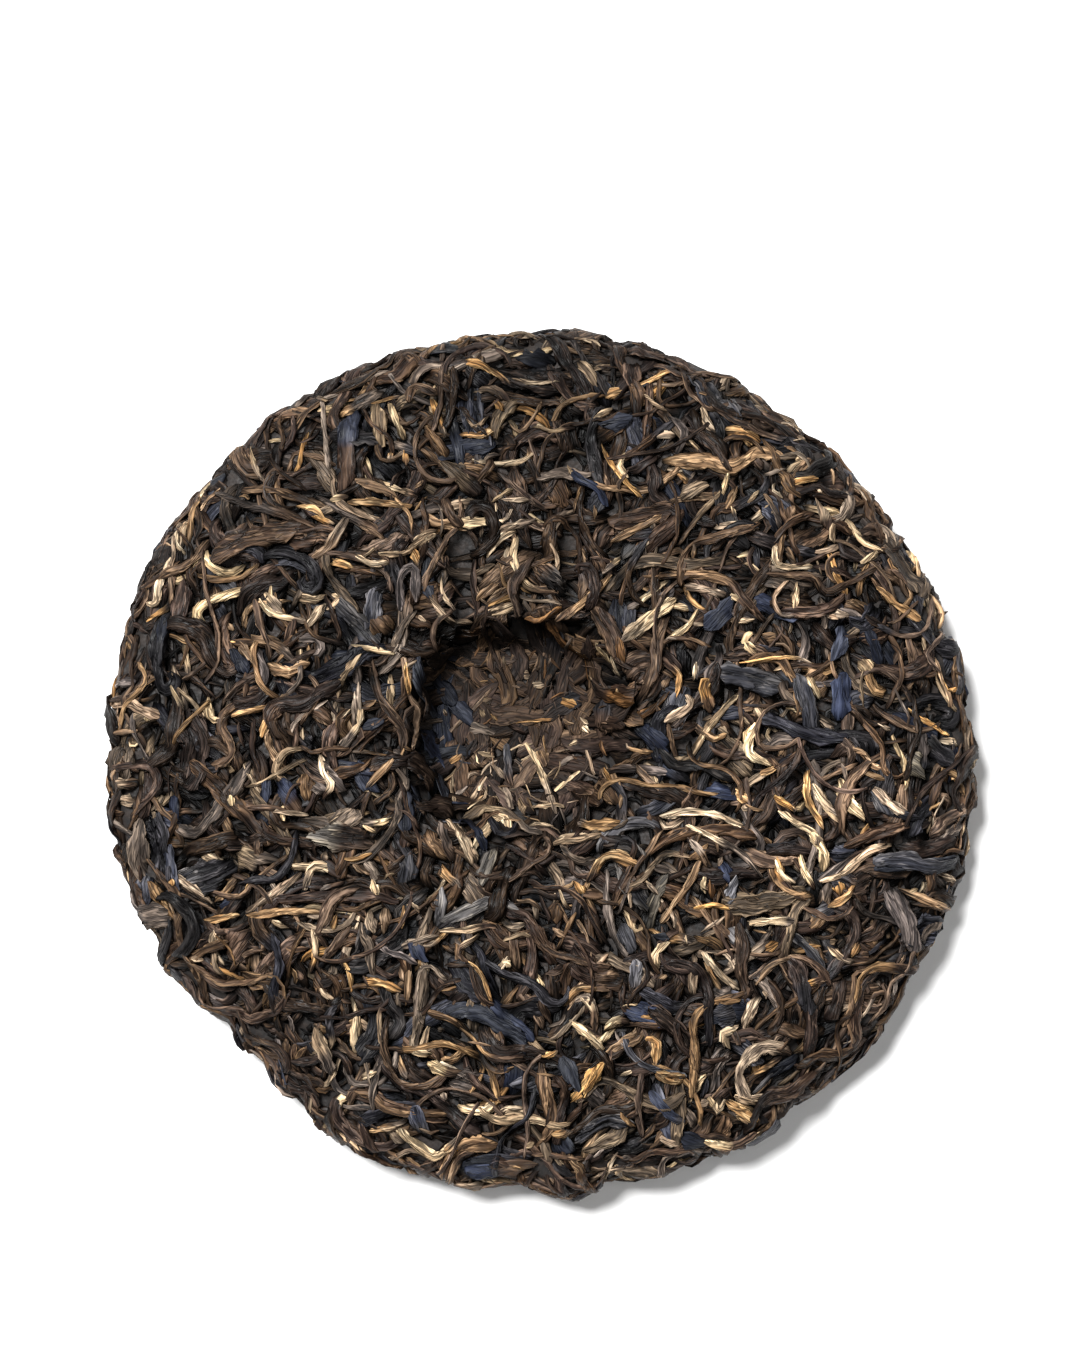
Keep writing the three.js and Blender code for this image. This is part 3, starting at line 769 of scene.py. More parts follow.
# The leaves that stand out most, by where they lie seen from above: look, width, points.
# Later ones lie on earlier ones.
SHOWN_LEAVES = [
    # north
    ("navy", 4.2, (-43, 80), (-44.5, 62)),
    ("ash", 1.3, (-34, 90), (-48.5, 84), (-49.5, 80), (-47.8, 66)),
    ("pale", 1.5, (-47.8, 66), (-45.5, 59), (-35, 54.3)),
    ("tan", 2.6, (-47, 79.5), (-36, 85.5)),
    ("gold", 1.0, (-40, 82), (-31.5, 83.5)),
    ("brown", 2.0, (-30, 82), (-28.5, 86), (-22.5, 84)),
    ("dark", 3.0, (-31, 93), (-25, 88.5), (-16, 83)),
    ("ash", 3.0, (-37, 82), (-36, 72)),
    ("cream", 1.5, (-34.5, 82), (-31, 73.5)),
    ("tan", 0.9, (-33.5, 77.5), (-30, 77), (-26.5, 79.5)),
    ("gold", 1.8, (-24.5, 83), (-21.5, 74)),
    ("navy", 2.5, (-21, 82), (-17.5, 67)),
    ("pale", 0.9, (-17, 78), (-14.5, 76), (-11.5, 79)),
    ("ash", 3.0, (-5, 83), (-9, 79), (-10.5, 74)),
    ("pale", 1.6, (-15, 85), (-10, 84.5), (-7, 82)),
    ("gold", 1.8, (-17.5, 91), (-11, 89.5), (-7, 86)),
    ("navy", 4.0, (-5, 92), (3, 92)),
    ("pale", 1.1, (-7, 87.5), (-1, 86), (4, 86.5)),
    ("tan", 0.9, (-7, 77), (-4.5, 75), (-2, 77.5), (0.5, 82)),
    ("brown", 2.5, (-26, 76), (-21, 69)),
    ("grey", 4.0, (-21, 68), (-14, 61)),
    ("gold", 1.5, (-34, 71), (-34, 68.5)),
    ("gold", 1.4, (-30.5, 70.5), (-30.5, 67.5)),
    ("grey", 1.8, (-35, 73), (-26, 69.5)),
    ("brown", 1.0, (-22.5, 68), (-26.5, 67), (-26, 64.5), (-22.5, 63)),
    ("cream", 1.6, (-35, 63), (-31, 61.5), (-27.5, 60)),
    ("tan", 1.8, (-42, 64), (-36, 62), (-33, 60)),
    ("tan", 0.9, (-33, 60), (-29.5, 56), (-29, 51)),
    ("gold", 1.5, (-44, 59), (-36, 59), (-29, 58)),
    ("pale", 2.0, (-23, 57), (-18, 58.5), (-12, 59.5)),
    ("pale", 1.2, (-11, 59), (-6, 62)),
    ("pale", 1.2, (-9, 59.5), (-2.5, 59.5)),
    ("cream", 1.1, (-10, 59), (-9.5, 55.5), (-8, 54.8), (-6.3, 57.5)),
    ("pale", 1.5, (-13, 51), (-8, 53), (-1, 55)),
    ("brown", 1.4, (-10, 66.5), (-4, 61), (2, 57)),
    ("grey", 2.0, (-52, 61), (-45, 57), (-38, 53), (-35, 50)),
    ("gold", 1.3, (-52, 56), (-47, 54)),
    ("pale", 1.3, (-29, 50), (-26, 52), (-23.5, 52.5)),
    ("pale", 1.0, (7.5, 97), (14, 95.5)),
    ("ash", 2.4, (9, 92.5), (13, 85.5)),
    ("dark", 3.2, (18, 96), (19, 91), (22, 85), (23, 80)),
    ("dark", 4.0, (21, 93), (21, 86)),
    ("tan", 1.2, (2.5, 76.5), (5, 81), (10, 83), (15, 84)),
    ("gold", 2.0, (15, 83.5), (19, 85)),
    ("pale", 1.3, (12, 78), (16.5, 80.5)),
    ("navy", 4.0, (15, 76), (20, 77)),
    ("pale", 1.0, (23.5, 84), (26, 81.5), (29, 80)),
    ("grey", 1.8, (30, 79), (33, 75), (31, 70)),
    ("pale", 1.3, (33.5, 74), (36.5, 71)),
    ("tan", 1.0, (26.5, 70.5), (30.5, 73)),
    ("gold", 1.3, (13.5, 74), (15.5, 69), (19, 64), (23.5, 60)),
    ("cream", 1.4, (19.5, 70), (18, 67), (20, 64.5)),
    ("tan", 3.2, (27.5, 68.5), (38, 68.5), (44, 67), (50, 71), (56, 69.5)),
    ("cream", 2.0, (37, 81), (38.5, 77), (40, 75.5)),
    ("gold", 3.0, (42.5, 76), (47, 74.5), (50.5, 73)),
    ("brown", 1.4, (34, 88), (37, 87), (39, 82), (44, 78), (50, 75.5), (66, 71)),
    ("grey", 3.2, (32, 60.5), (37.5, 63.5)),
    ("cream", 1.3, (43, 66.5), (41.5, 60.5)),
    ("ash", 1.3, (41, 61), (37, 57), (34, 53), (31, 49)),
    ("tan", 1.5, (45, 63), (42, 57)),
    ("pale", 1.0, (50, 62), (47, 58.5)),
    ("navy", 1.8, (7, 67), (9, 64.5), (13, 62), (15, 58)),
    ("gold", 0.8, (9, 63), (7.5, 56.5)),
    ("dark", 4.0, (16, 54), (30, 57)),
    ("tan", 1.5, (16, 50), (22, 53), (28, 56)),
    ("pale", 1.0, (-1, 76.5), (3, 75), (8, 76)),
    ("ash", 3.2, (72, 65), (76, 59), (80, 52), (82, 48)),
    ("brown", 2.0, (73, 62), (79, 50)),
    ("grey", 4.5, (79, 50), (83, 45), (87, 39)),
    ("dark", 1.4, (71.5, 66), (71, 61)),
    ("pale", 2.4, (64, 59), (65.5, 53)),
    ("gold", 1.4, (57, 63.5), (64, 65)),
    ("cream", 1.1, (54, 64), (53, 62), (55, 60)),
    ("cream", 1.4, (62.5, 63), (64.5, 61.5)),
    ("tan", 1.3, (51, 61), (53, 57.5), (55, 53)),
    ("dark", 1.5, (53, 50), (57, 54.5), (63, 57)),
    ("pale", 1.0, (54.5, 78.5), (57, 77), (58, 75.5)),
    ("cream", 1.5, (70, 55.9), (73.9, 50.6), (78.5, 48)),
    ("tan", 1.4, (75, 57), (71, 55.5)),
    ("cream", 1.4, (72.9, 45), (76.6, 47.6)),
    ("cream", 1.3, (-62.5, 73.5), (-57.5, 73.5)),
    ("gold", 1.2, (-53, 76), (-55, 68), (-56, 66)),
    ("dark", 1.2, (-62.5, 76), (-62, 71), (-59, 66), (-53, 62)),
    ("pale", 1.3, (-66, 72), (-64.5, 66.5), (-62.5, 63.5)),
    ("dark", 1.3, (-71, 69), (-68, 65), (-64, 61.5)),
    ("grey", 2.0, (-75, 61.5), (-68, 59), (-60, 57), (-50, 53)),
    ("brown", 1.8, (-69, 62), (-60, 61.5), (-48, 58)),
    ("tan", 1.6, (-78, 60.5), (-80, 55), (-81, 50)),
    ("cream", 1.3, (-83, 53.5), (-83.5, 50), (-82, 48)),
    ("gold", 1.3, (-56, 58.5), (-51, 57.5), (-49, 55)),
    ("dark", 4.3, (-74.5, 46.6), (-65, 51), (-54.7, 53)),
    # west
    ("cream", 2.0, (-77.1, 49.3), (-75.1, 44.6), (-70.5, 43.3), (-67.5, 45.3)),
    ("tan", 1.4, (-79.1, 43), (-75.1, 41.7), (-68.5, 41.7), (-63.9, 44.6)),
    ("cream", 2.0, (-67.5, 39), (-75.8, 36.1), (-78.4, 33.4), (-75.1, 28.1)),
    ("cream", 2.4, (-62.5, 38.5), (-58.5, 34)),
    ("cream", 1.5, (-63.9, 37.1), (-61.3, 34.1), (-57.3, 32.8), (-52.7, 32.1)),
    ("cream", 2.0, (-53, 30.8), (-51, 33), (-49, 36)),
    ("grey", 1.3, (-53, 41), (-57, 34)),
    ("blue", 4.0, (-46.1, 36.1), (-36.8, 26.8)),
    ("blue", 3.6, (-37, 39.5), (-38.5, 31)),
    ("brown", 4.6, (-37.5, 33), (-34.5, 29)),
    ("cream", 1.3, (-42.8, 26.5), (-32.9, 24.5)),
    ("pale", 1.6, (-41.5, 24.2), (-45.4, 18.2), (-46.1, 14)),
    ("grey", 2.0, (-31.5, 34), (-31.5, 42), (-28.5, 44), (-28, 36)),
    ("grey", 1.6, (-28, 34.5), (-31, 31), (-33.5, 26)),
    ("cream", 1.4, (-42, 47), (-38, 45), (-34, 45.5)),
    ("pale", 1.4, (-36.8, 47.3), (-30.9, 47.3), (-28.3, 49.3), (-23.6, 51.9)),
    ("gold", 2.0, (-29, 48), (-27.6, 45)),
    ("pale", 1.0, (-22.5, 42), (-22, 38), (-19, 34.5)),
    ("pale", 1.8, (-24.5, 36), (-20, 32), (-15, 31)),
    ("dark", 1.6, (-16, 47), (-15, 39), (-14.5, 31)),
    ("ash", 1.6, (-14.5, 43), (-10.5, 45)),
    ("tan", 1.4, (-14.5, 36.5), (-9.5, 41)),
    ("brown", 2.2, (-38, 24), (-37, 16), (-31, 7), (-31, 2)),
    ("tan", 1.8, (-31, 24), (-29, 16), (-27.5, 9), (-28, 2)),
    ("pale", 1.6, (-34, 20), (-34, 13)),
    ("ash", 1.8, (-41.5, 18), (-41.5, 12), (-42, 8), (-40.5, 6), (-46, 1)),
    ("cream", 1.2, (-43, 12), (-45.5, 9.5)),
    ("navy", 2.2, (-40, 8), (-35.5, 9.5)),
    ("tan", 2.4, (-65.5, 28), (-60.2, 26.9), (-56, 23)),
    ("tan", 2.0, (-68.3, 27.3), (-65.1, 22.7)),
    ("grey", 2.0, (-64.6, 26.2), (-62.6, 20.2), (-63.9, 16.9)),
    ("navy", 3.0, (-69.2, 25.5), (-66.5, 20.2)),
    ("tan", 1.2, (-70.5, 10.5), (-61.3, 13), (-54.7, 18.2), (-54.5, 23)),
    ("brown", 1.2, (-81.5, 18.5), (-75, 23.5), (-73.5, 28), (-75, 35)),
    ("cream", 1.1, (-83, 17.5), (-74.5, 9)),
    ("cream", 1.3, (-84, 17.5), (-81, 12)),
    ("cream", 2.0, (-75.5, 15), (-75, 10), (-72.5, 9.5)),
    ("gold", 1.6, (-61.3, 11), (-63.2, 5.7)),
    ("cream", 1.8, (-40.8, 13), (-41.5, 7.7), (-46.1, 1.7)),
    ("pale", 1.5, (-83.7, 52.6), (-84.4, 45.3), (-85, 34.8)),
    ("dark", 4.2, (-81.7, 42), (-83, 32.1)),
    ("navy", 1.8, (-85.5, 33), (-87, 22)),
    ("brown", 1.3, (-88, 44.5), (-93, 38), (-95, 32)),
    ("dark", 1.3, (-96.2, 30.1), (-93.6, 31.5), (-90.3, 29.5)),
    ("brown", 1.3, (-98.2, 13.7), (-91.6, 15.6), (-89.3, 20.9)),
    ("tan", 1.1, (-92, 23), (-89.5, 18), (-95, 12), (-97, 7)),
    ("tan", 1.1, (-98, 6.4), (-91.6, 7)),
    # above the hollow, and east
    ("cream", 1.7, (-5.1, 51.4), (-6, 45.7), (-2.5, 39.9), (4.6, 38.2)),
    ("tan", 1.0, (-9.5, 45.7), (-7.8, 40), (-2.5, 36.9), (5, 36)),
    ("tan", 2.4, (-12.2, 36.2), (-6.5, 39)),
    ("tan", 1.1, (-13.2, 37), (-9.4, 40)),
    ("gold", 1.2, (-12.6, 35.2), (-8, 37), (-4.4, 37.8)),
    ("pale", 1.1, (-12.6, 34), (-8, 35.4), (-4, 36.7)),
    ("cream", 1.0, (-11.8, 33.1), (-8, 34), (-4.4, 35.6)),
    ("rust", 1.3, (-3, 32), (0.8, 32.5), (5, 35.3)),
    ("pale", 1.1, (1.9, 50.5), (4.1, 45.7), (3.2, 42.2)),
    ("grey", 2.6, (15, 38), (20, 44), (25, 46), (35, 45), (42, 46)),
    ("brown", 2.0, (23, 42), (32, 42.5), (43, 41), (46, 37), (52, 31)),
    ("cream", 1.4, (18.6, 46.6), (14.2, 43)),
    ("cream", 1.2, (25.3, 50.5), (23.5, 48.8), (23.9, 46.6)),
    ("cream", 2.9, (31, 37.1), (25.7, 33.3), (18.1, 27.1)),
    ("cream", 1.6, (30.1, 35.3), (34.2, 34.8)),
    ("pale", 1.8, (32.5, 39.9), (36.9, 39.4), (42.1, 37.7)),
    ("blue", 6.0, (18.7, 36), (18.7, 30)),
    ("navy", 4.0, (43.6, 35.9), (37.7, 30.4)),
    ("brown", 3.6, (11.9, 35.3), (16.3, 28.6), (18.7, 22.7)),
    ("cream", 1.3, (12.4, 26.8), (14.9, 21.3)),
    ("cream", 1.4, (15.5, 24.5), (16.6, 18.6)),
    ("brown", 2.6, (29.8, 35.1), (26.9, 28.6), (26, 21.3), (22.2, 13)),
    ("brown", 1.1, (27.2, 26.2), (29.5, 28), (33.9, 28), (38.6, 26)),
    ("cream", 1.6, (48, 29.5), (46.3, 27.4), (49.2, 24.5)),
    ("gold", 2.6, (38.6, 19.2), (37.2, 16.9), (38.9, 11.3)),
    ("pale", 1.8, (33.4, 15.4), (33.9, 12.8), (28.1, 9.2)),
    ("cream", 1.0, (35.4, 22.7), (35.1, 18.9)),
    ("blue", 4.6, (40.4, 20.4), (55, 17)),
    ("navy", 4.0, (22.2, 8.9), (29.5, 1.6)),
    ("pale", 1.4, (45.4, 16), (38.3, 8.1), (33.9, 1.3), (27.5, 0.7)),
    ("cream", 1.8, (49.2, 9), (47.2, 2.4), (52.8, -0.9)),
    ("cream", 1.2, (53, 8), (51.5, 6.4), (53, 4)),
    ("cream", 1.6, (61, 19.6), (63.7, 14.6)),
    ("gold", 0.9, (44.9, 22.5), (57, 23.8), (62, 22.2)),
    ("blue", 3.5, (58.5, 20), (60.5, 14), (63, 3)),
    ("pale", 3.0, (73, 23.5), (75, 20.5)),
    ("navy", 4.2, (68.5, 20), (68.5, 10)),
    ("brown", 1.2, (71, 19), (77, 21), (83, 17), (86, 12)),
    ("tan", 1.2, (56.1, 41.3), (53.1, 37.4), (54.8, 33.4), (58, 33.4)),
    ("pale", 1.5, (58.4, 41), (57.8, 34.7)),
    ("cream", 1.5, (53.5, 49.3), (54.1, 44.6), (62.7, 44.6)),
    ("tan", 1.5, (56, 49), (58.5, 44)),
    ("brown", 1.7, (77.9, 45), (71.3, 41.3), (65.3, 38.4), (62, 42), (49.5, 42.7)),
    ("tan", 1.7, (76.6, 40), (81.2, 36.1), (87.8, 31.8)),
    ("brown", 1.2, (90, 38), (90, 34), (88.5, 31), (84, 28.5), (76, 31)),
    ("brown", 1.3, (93.5, 30), (90, 27), (88, 24), (90.5, 20.5)),
    ("gold", 1.0, (92.1, 18.9), (93.1, 16.3), (95.7, 16.9)),
    ("navy", 3.0, (69.3, 31.4), (67.3, 23.5)),
    ("navy", 2.6, (74.6, 30.1), (77.9, 22.2)),
    ("navy", 2.8, (80.5, 11), (90.4, 5.7)),
    ("gold", 1.3, (83.2, 13), (88, 9), (94, 6)),
    ("grey", 4.5, (86, 8), (86, -2)),
    # south-west
    ("dark", 3.5, (-80, 0), (-72, -7), (-63, -16.5)),
    ("pale", 1.2, (-61, -11), (-52.5, -12)),
    ("navy", 3.8, (-59, -4), (-54.5, -12)),
    ("brown", 3.2, (-53, -3), (-53, -9)),
    ("blue", 2.4, (-84.5, -19), (-83, -29)),
    ("dark", 1.8, (-98, -2), (-90, -0.5), (-87.5, -3), (-88, -7), (-93, -12)),
    ("pale", 2.6, (-97, -5), (-93, -5)),
    ("pale", 2.6, (-97, -9), (-93, -9)),
    ("ash", 5.0, (-69, -21), (-62.5, -23)),
    ("grey", 5.5, (-91, -35), (-85, -35)),
    ("dark", 7.0, (-71, -45), (-67, -39)),
    ("brown", 1.2, (-57, -21), (-65, -27), (-68, -30.5), (-76, -29.5)),
    ("gold", 1.1, (-70, -25), (-66, -26.5), (-67, -29)),
    ("cream", 1.8, (-50.1, 1.7), (-48.7, -2.5), (-47.3, -5.3), (-49.4, -8.3)),
    ("slate", 5.2, (-51.4, -15.9), (-38.2, -17.9)),
    ("cream", 1.9, (-47.7, -23.5), (-51.7, -23.9), (-53.3, -29.1)),
    ("pale", 1.6, (-54, -25.2), (-61.3, -30.5), (-67.2, -34.4)),
    ("dark", 2.6, (-61.3, -31.1), (-44.1, -30.5), (-31.6, -31.8)),
    ("gold", 1.5, (-76.4, -36.4), (-68.5, -34.7)),
    ("cream", 1.6, (-74, -38), (-74.5, -44)),
    ("tan", 1.6, (-66.5, -35.1), (-57.3, -33.8), (-48, -34.4)),
    ("gold", 1.3, (-46.1, -34.4), (-47.4, -38.4)),
    ("gold", 1.6, (-50.9, -42), (-51.4, -45), (-52.7, -48)),
    ("cream", 1.5, (-51.6, -37.5), (-50.9, -41.5), (-51, -44.5)),
    ("brown", 1.9, (-42.8, -37.1), (-50.7, -47)),
    ("brown", 1.6, (-91, -21.2), (-83, -30.5), (-83, -39), (-79.7, -47.6), (-74.5, -56.8)),
    ("pale", 2.4, (-51.4, -60.8), (-47.4, -70.7)),
    ("cream", 1.5, (-40.8, -72), (-37.5, -70.7)),
    ("cream", 1.9, (-25.6, -68.7), (-18.4, -70.7)),
    ("ash", 1.4, (-32.2, -64.8), (-19.7, -64.1)),
    ("cream", 1.6, (-32.9, -84.2), (-28.3, -88.5), (-23, -89.9), (-19.7, -86.6)),
    ("brown", 3.0, (-13.1, -85.9), (-20.3, -88.5), (-22.3, -93.2), (-19, -97)),
    ("navy", 4.6, (-17.7, -94.5), (-12.4, -91.2), (-2.5, -94)),
    ("gold", 1.3, (-30.9, -32.4), (-31.6, -37.7)),
    ("gold", 2.0, (-22.3, -23.9), (-18.4, -28.5)),
    ("slate", 3.0, (-13.7, -27.2), (-10.4, -19.9)),
    ("pale", 2.8, (-20, -12.2), (-17.6, -17.4), (-14.8, -23.6)),
    ("pale", 1.6, (-23, -38.4), (-9.8, -37.4)),
    ("gold", 1.1, (-16.4, -45), (-13.1, -48.3), (-11.1, -54.2)),
    ("cream", 1.4, (-7.1, -43.7), (-9.8, -47.6)),
    ("gold", 1.8, (-39.5, -49.6), (-31.6, -52.2)),
    ("tan", 1.6, (-29.6, -46.9), (-30.2, -54.9)),
    ("ash", 1.0, (-28.3, -58.8), (-27.6, -48.3), (-25, -46.3), (-21, -49.6)),
    ("gold", 1.2, (-45.4, -44.3), (-42.8, -52.2)),
    ("navy", 3.2, (-11.1, -54.9), (-1.9, -63.4)),
    # south-east
    ("cream", 1.7, (27.7, -12.6), (33, -11.3), (39.6, -12), (46.2, -14.6)),
    ("cream", 1.4, (33, -14), (39.6, -17.3), (46.2, -21.2), (50.8, -26.5)),
    ("tan", 1.3, (27.7, -15.3), (18.5, -29.1)),
    ("gold", 2.4, (22, -23.3), (17, -21.4), (13.3, -23), (11.3, -27)),
    ("pale", 1.4, (34.6, -21.5), (29, -20.8), (26.3, -22.9), (23.5, -26.3), (20, -28.4)),
    ("cream", 1.6, (62, -5.4), (66, -11.3), (69.3, -14.3)),
    ("cream", 2.3, (68.6, -4.1), (69.3, -8), (73.3, -12)),
    ("cream", 1.3, (54.5, -11.6), (60.7, -15.3), (64, -18.6), (63.7, -25.2)),
    ("gold", 1.8, (53.5, -21.9), (54.8, -25.8), (57.4, -29.1)),
    ("cream", 1.4, (58.7, -21.2), (60.7, -26.5), (62.4, -28.5)),
    ("grey", 1.8, (63.4, -27.2), (72.6, -21.2), (80.5, -19.2)),
    ("navy", 2.2, (75.9, -23.9), (85.8, -23.2), (96, -22.5)),
    ("pale", 1.3, (46.9, -36.1), (58.1, -36.1)),
    ("pale", 1.1, (36.3, -39), (42.2, -35.1)),
    ("cream", 1.6, (37, -43), (40.9, -48.3), (45.5, -51.9)),
    ("cream", 1.8, (28.7, -40.8), (26, -44), (26.8, -47)),
    ("brown", 1.4, (47.5, -49.6), (54.8, -45), (62, -46.3), (66, -50.9)),
    ("brown", 1.3, (34.3, -77.3), (35, -61.5), (38.3, -54.9), (47.5, -52.2)),
    ("gold", 1.4, (59.7, -50.2), (65.3, -49.6)),
    ("brown", 1.3, (69.3, -61.5), (71.9, -51.6), (73.3, -47.6), (87, -47.6)),
    ("navy", 5.0, (38, -57.5), (46.5, -57.5)),
    ("cream", 1.8, (44.9, -60.5), (41.6, -61.5), (42.2, -64.8)),
    ("brown", 1.2, (5.3, -52.9), (9.9, -50.9), (15.8, -51.6)),
    ("ash", 1.8, (7.9, -54.2), (11.2, -53.6), (13.2, -60.2)),
    ("cream", 1.4, (6.6, -58.8), (10.6, -61.5), (14.5, -65.4)),
    ("pale", 1.6, (14.5, -60.2), (20.5, -58.8)),
    ("gold", 1.6, (26.4, -70.7), (33, -71.4)),
    ("gold", 1.3, (48.8, -71.4), (55.4, -67.4)),
    ("navy", 2.4, (52.1, -72), (59.4, -67.4)),
    ("cream", 1.4, (38, -76), (40, -78.5), (41.5, -75.5)),
    ("gold", 3.0, (42.9, -78), (50.2, -82.6)),
    ("pale", 1.6, (46.2, -76.7), (56.1, -77.3)),
    ("cream", 1.5, (37.6, -87.2), (44.9, -87.9), (50.8, -84.6)),
    ("tan", 1.1, (23.1, -71.4), (22.8, -81.3), (23.8, -87.2)),
    # south of the hollow
    ("navy", 3.5, (-31, -6), (-30.5, -16)),
    ("black", 4.6, (-29, 1), (-24, -6)),
    ("navy", 4.0, (-24, -2), (-21, -8)),
    ("black", 4.6, (-27, -9), (-19, -11)),
    ("grey", 1.6, (-33.5, -0.5), (-30.3, -4.5), (-31.8, -8), (-31.5, -13)),
    ("tan", 1.6, (-33, 1), (-39.7, -6.3)),
    ("brown", 1.6, (-33.9, -2), (-33.6, -6), (-38, -10)),
    ("grey", 1.8, (-32.8, -7.3), (-32, -11.8), (-37, -19.4), (-40.8, -21.9), (-44.6, -22.2)),
    ("gold", 1.1, (-44.7, -21.9), (-41.8, -21.9), (-38.3, -20.5)),
    ("cream", 1.0, (-40.8, -13.8), (-39.5, -14.8), (-37.2, -16)),
    ("cream", 1.8, (-37.6, -27), (-36.8, -30)),
    ("blue", 3.8, (-30, -21), (-30.7, -27.5)),
    ("brown", 3.0, (-25.9, -15.3), (-23.5, -18.8), (-21, -21.5)),
    ("grey", 2.2, (-22.4, -12.5), (-21.4, -17.4), (-19.3, -22.2)),
    ("navy", 1.8, (-17, -11.5), (-12.4, -20)),
    ("slate", 2.2, (-22.4, -28.4), (-23, -37)),
    ("slate", 2.8, (-22, -36.5), (-17, -33.8), (-11, -31.3), (-6, -32)),
    ("ash", 1.6, (-32.1, -42.6), (-28, -40.6), (-23.5, -39.2)),
    ("ash", 1.3, (-13.8, -39.5), (-18.3, -42.3), (-17.6, -44.4), (-15.8, -45.7)),
    ("cream", 1.0, (-9.6, -48.5), (-7.5, -49.2)),
    ("brown", 2.2, (-6.2, -39), (-5, -47)),
    ("ash", 1.0, (-8.3, -40.3), (-4.5, -38.9), (-2.3, -39.6)),
    ("ash", 2.2, (-38.5, -33.5), (-37.3, -38.5)),
    ("tan", 2.2, (-35.2, -33.3), (-34.9, -38.1)),
    ("pale", 1.2, (-30.4, -32.6), (-28.6, -32.2), (-27.3, -34)),
    ("navy", 3.4, (-28.5, -41), (-26.5, -45)),
    ("grey", 1.9, (-40.5, -36), (-38.5, -43), (-37.4, -49)),
    ("grey", 1.4, (-37, -40.8), (-33, -43.5), (-27.5, -45.8)),
    ("tan", 1.2, (-32, -46.7), (-31, -49.8)),
    ("ash", 1.1, (-50.1, -28.9), (-44.3, -27.3)),
    ("ash", 1.2, (-53, -35), (-48.5, -35.5)),
    ("pale", 1.5, (-2, -9.8), (5.5, -10)),
    ("dark", 5.0, (8, -5), (14, -9)),
    ("tan", 1.2, (14.5, -1.5), (16.6, -4.9)),
    ("tan", 1.6, (21, -0.5), (27, -6)),
    ("navy", 3.6, (28.5, -0.5), (33.5, -4.5)),
    ("grey", 2.4, (40, 1), (36, -7)),
    ("cream", 2.4, (40.8, -2), (43.2, -4.4)),
    ("gold", 2.4, (44.5, -7), (47.3, -9)),
    ("navy", 3.4, (37.5, -6), (44, -7.5)),
    ("pale", 1.8, (27.5, -13.2), (29, -14.7), (32.7, -13)),
    ("slate", 2.6, (13.5, -20.5), (14.2, -17.4), (18.7, -14.3), (24.2, -13.6), (27.3, -14.6)),
    ("ash", 1.0, (11, -15), (17, -14.8), (20, -13)),
    ("pale", 2.0, (3.1, -18), (8.3, -17.4), (14.2, -16.3)),
    ("tan", 1.4, (4.5, -14), (8, -12.3)),
    ("grey", 1.6, (4.5, -19), (9, -22.5), (13, -21.8)),
    ("ash", 1.6, (14.9, -24.3), (15.2, -32.6), (17.3, -40.5), (20, -44.4)),
    ("pale", 1.2, (24, -27), (26.7, -30)),
    ("pale", 0.9, (20.2, -29), (20.6, -33)),
    ("slate", 2.6, (29, -26), (26, -31), (24, -38)),
    ("tan", 1.4, (36.3, -21.9), (33.2, -28.4), (27.3, -36.7)),
    ("cream", 1.1, (38, -25), (37, -27.4), (37.4, -29.8)),
    ("rust", 1.6, (38.7, -26.5), (39, -31)),
    ("navy", 2.4, (41, -22.5), (43, -26.5)),
    ("slate", 2.6, (44.8, -26.5), (42.5, -31.5)),
    ("ash", 1.6, (34, -17.5), (36.5, -20.5), (38.2, -23.8)),
    ("gold", 1.2, (34.5, -33.3), (39, -32.4), (43.7, -33.3)),
    ("slate", 4.2, (43.5, -37.5), (48, -42)),
    ("navy", 2.4, (26, -39.7), (29, -40.3)),
    ("cream", 0.9, (33, -39.3), (33, -42.3)),
    ("gold", 1.3, (37.4, -45.4), (39.2, -48.6), (41.3, -52)),
    ("pale", 1.2, (37.5, -43), (42.5, -43.7), (44.7, -47.7)),
    ("slate", 3.6, (18.7, -37), (21, -43)),
    ("slate", 3.0, (22, -45), (21.5, -51)),
    ("dark", 1.2, (-2, -28.4), (3.5, -28.4), (9.3, -31.2), (11.8, -35.7), (15.9, -42.3)),
    ("cream", 1.0, (4.5, -28.8), (5.5, -31.9), (6.9, -33.6)),
    ("gold", 1.8, (8.7, -27.5), (10, -30)),
    ("brown", 1.1, (8.3, -34), (4.2, -42.6)),
    ("brown", 1.6, (0, -40.9), (6.2, -44), (12.5, -46.4)),
    ("tan", 1.2, (12.8, -46.3), (15.2, -43.5)),
    ("tan", 1.4, (3, -38), (5.8, -39.5)),
    # over the rim, and other leaves that stand out
    ("dark", 2.4, (8.6, -93.2), (12.5, -99.6)),
    ("dark", 2.2, (3, -93.5), (6.4, -100.4)),
    ("brown", 3.0, (-22.5, -97.5), (-20.5, -91), (-15.5, -87.2), (-9, -87.6)),
    ("tan", 1.6, (-21, -97.6), (-18.8, -91.5), (-14, -88.4)),
    ("cream", 2.3, (-32.6, -84), (-28.5, -88.2), (-24, -89.8), (-20.5, -87.5)),
    ("gold", 1.8, (-21.5, -88.8), (-18.9, -85.8)),
    ("navy", 4.6, (-17, -94.5), (-10, -93), (-2, -93.2)),
    ("navy", 3.2, (-17, -91.5), (-12, -90.5), (-7, -92)),
    ("pale", 1.2, (-11, -96.2), (-5, -97.2)),
    ("ash", 1.9, (0.5, -86.5), (2, -91), (0.5, -95.5), (5, -99)),
    ("ash", 2.4, (-34.8, -84.8), (-31.2, -88.2)),
    ("cream", 2.6, (-25.5, -68.8), (-21, -70.3), (-18, -70.6)),
    ("cream", 1.6, (-29, -65.9), (-24.5, -66)),
    ("pale", 2.0, (-14.5, -78.5), (-8, -81.5), (1, -82), (7, -82.5)),
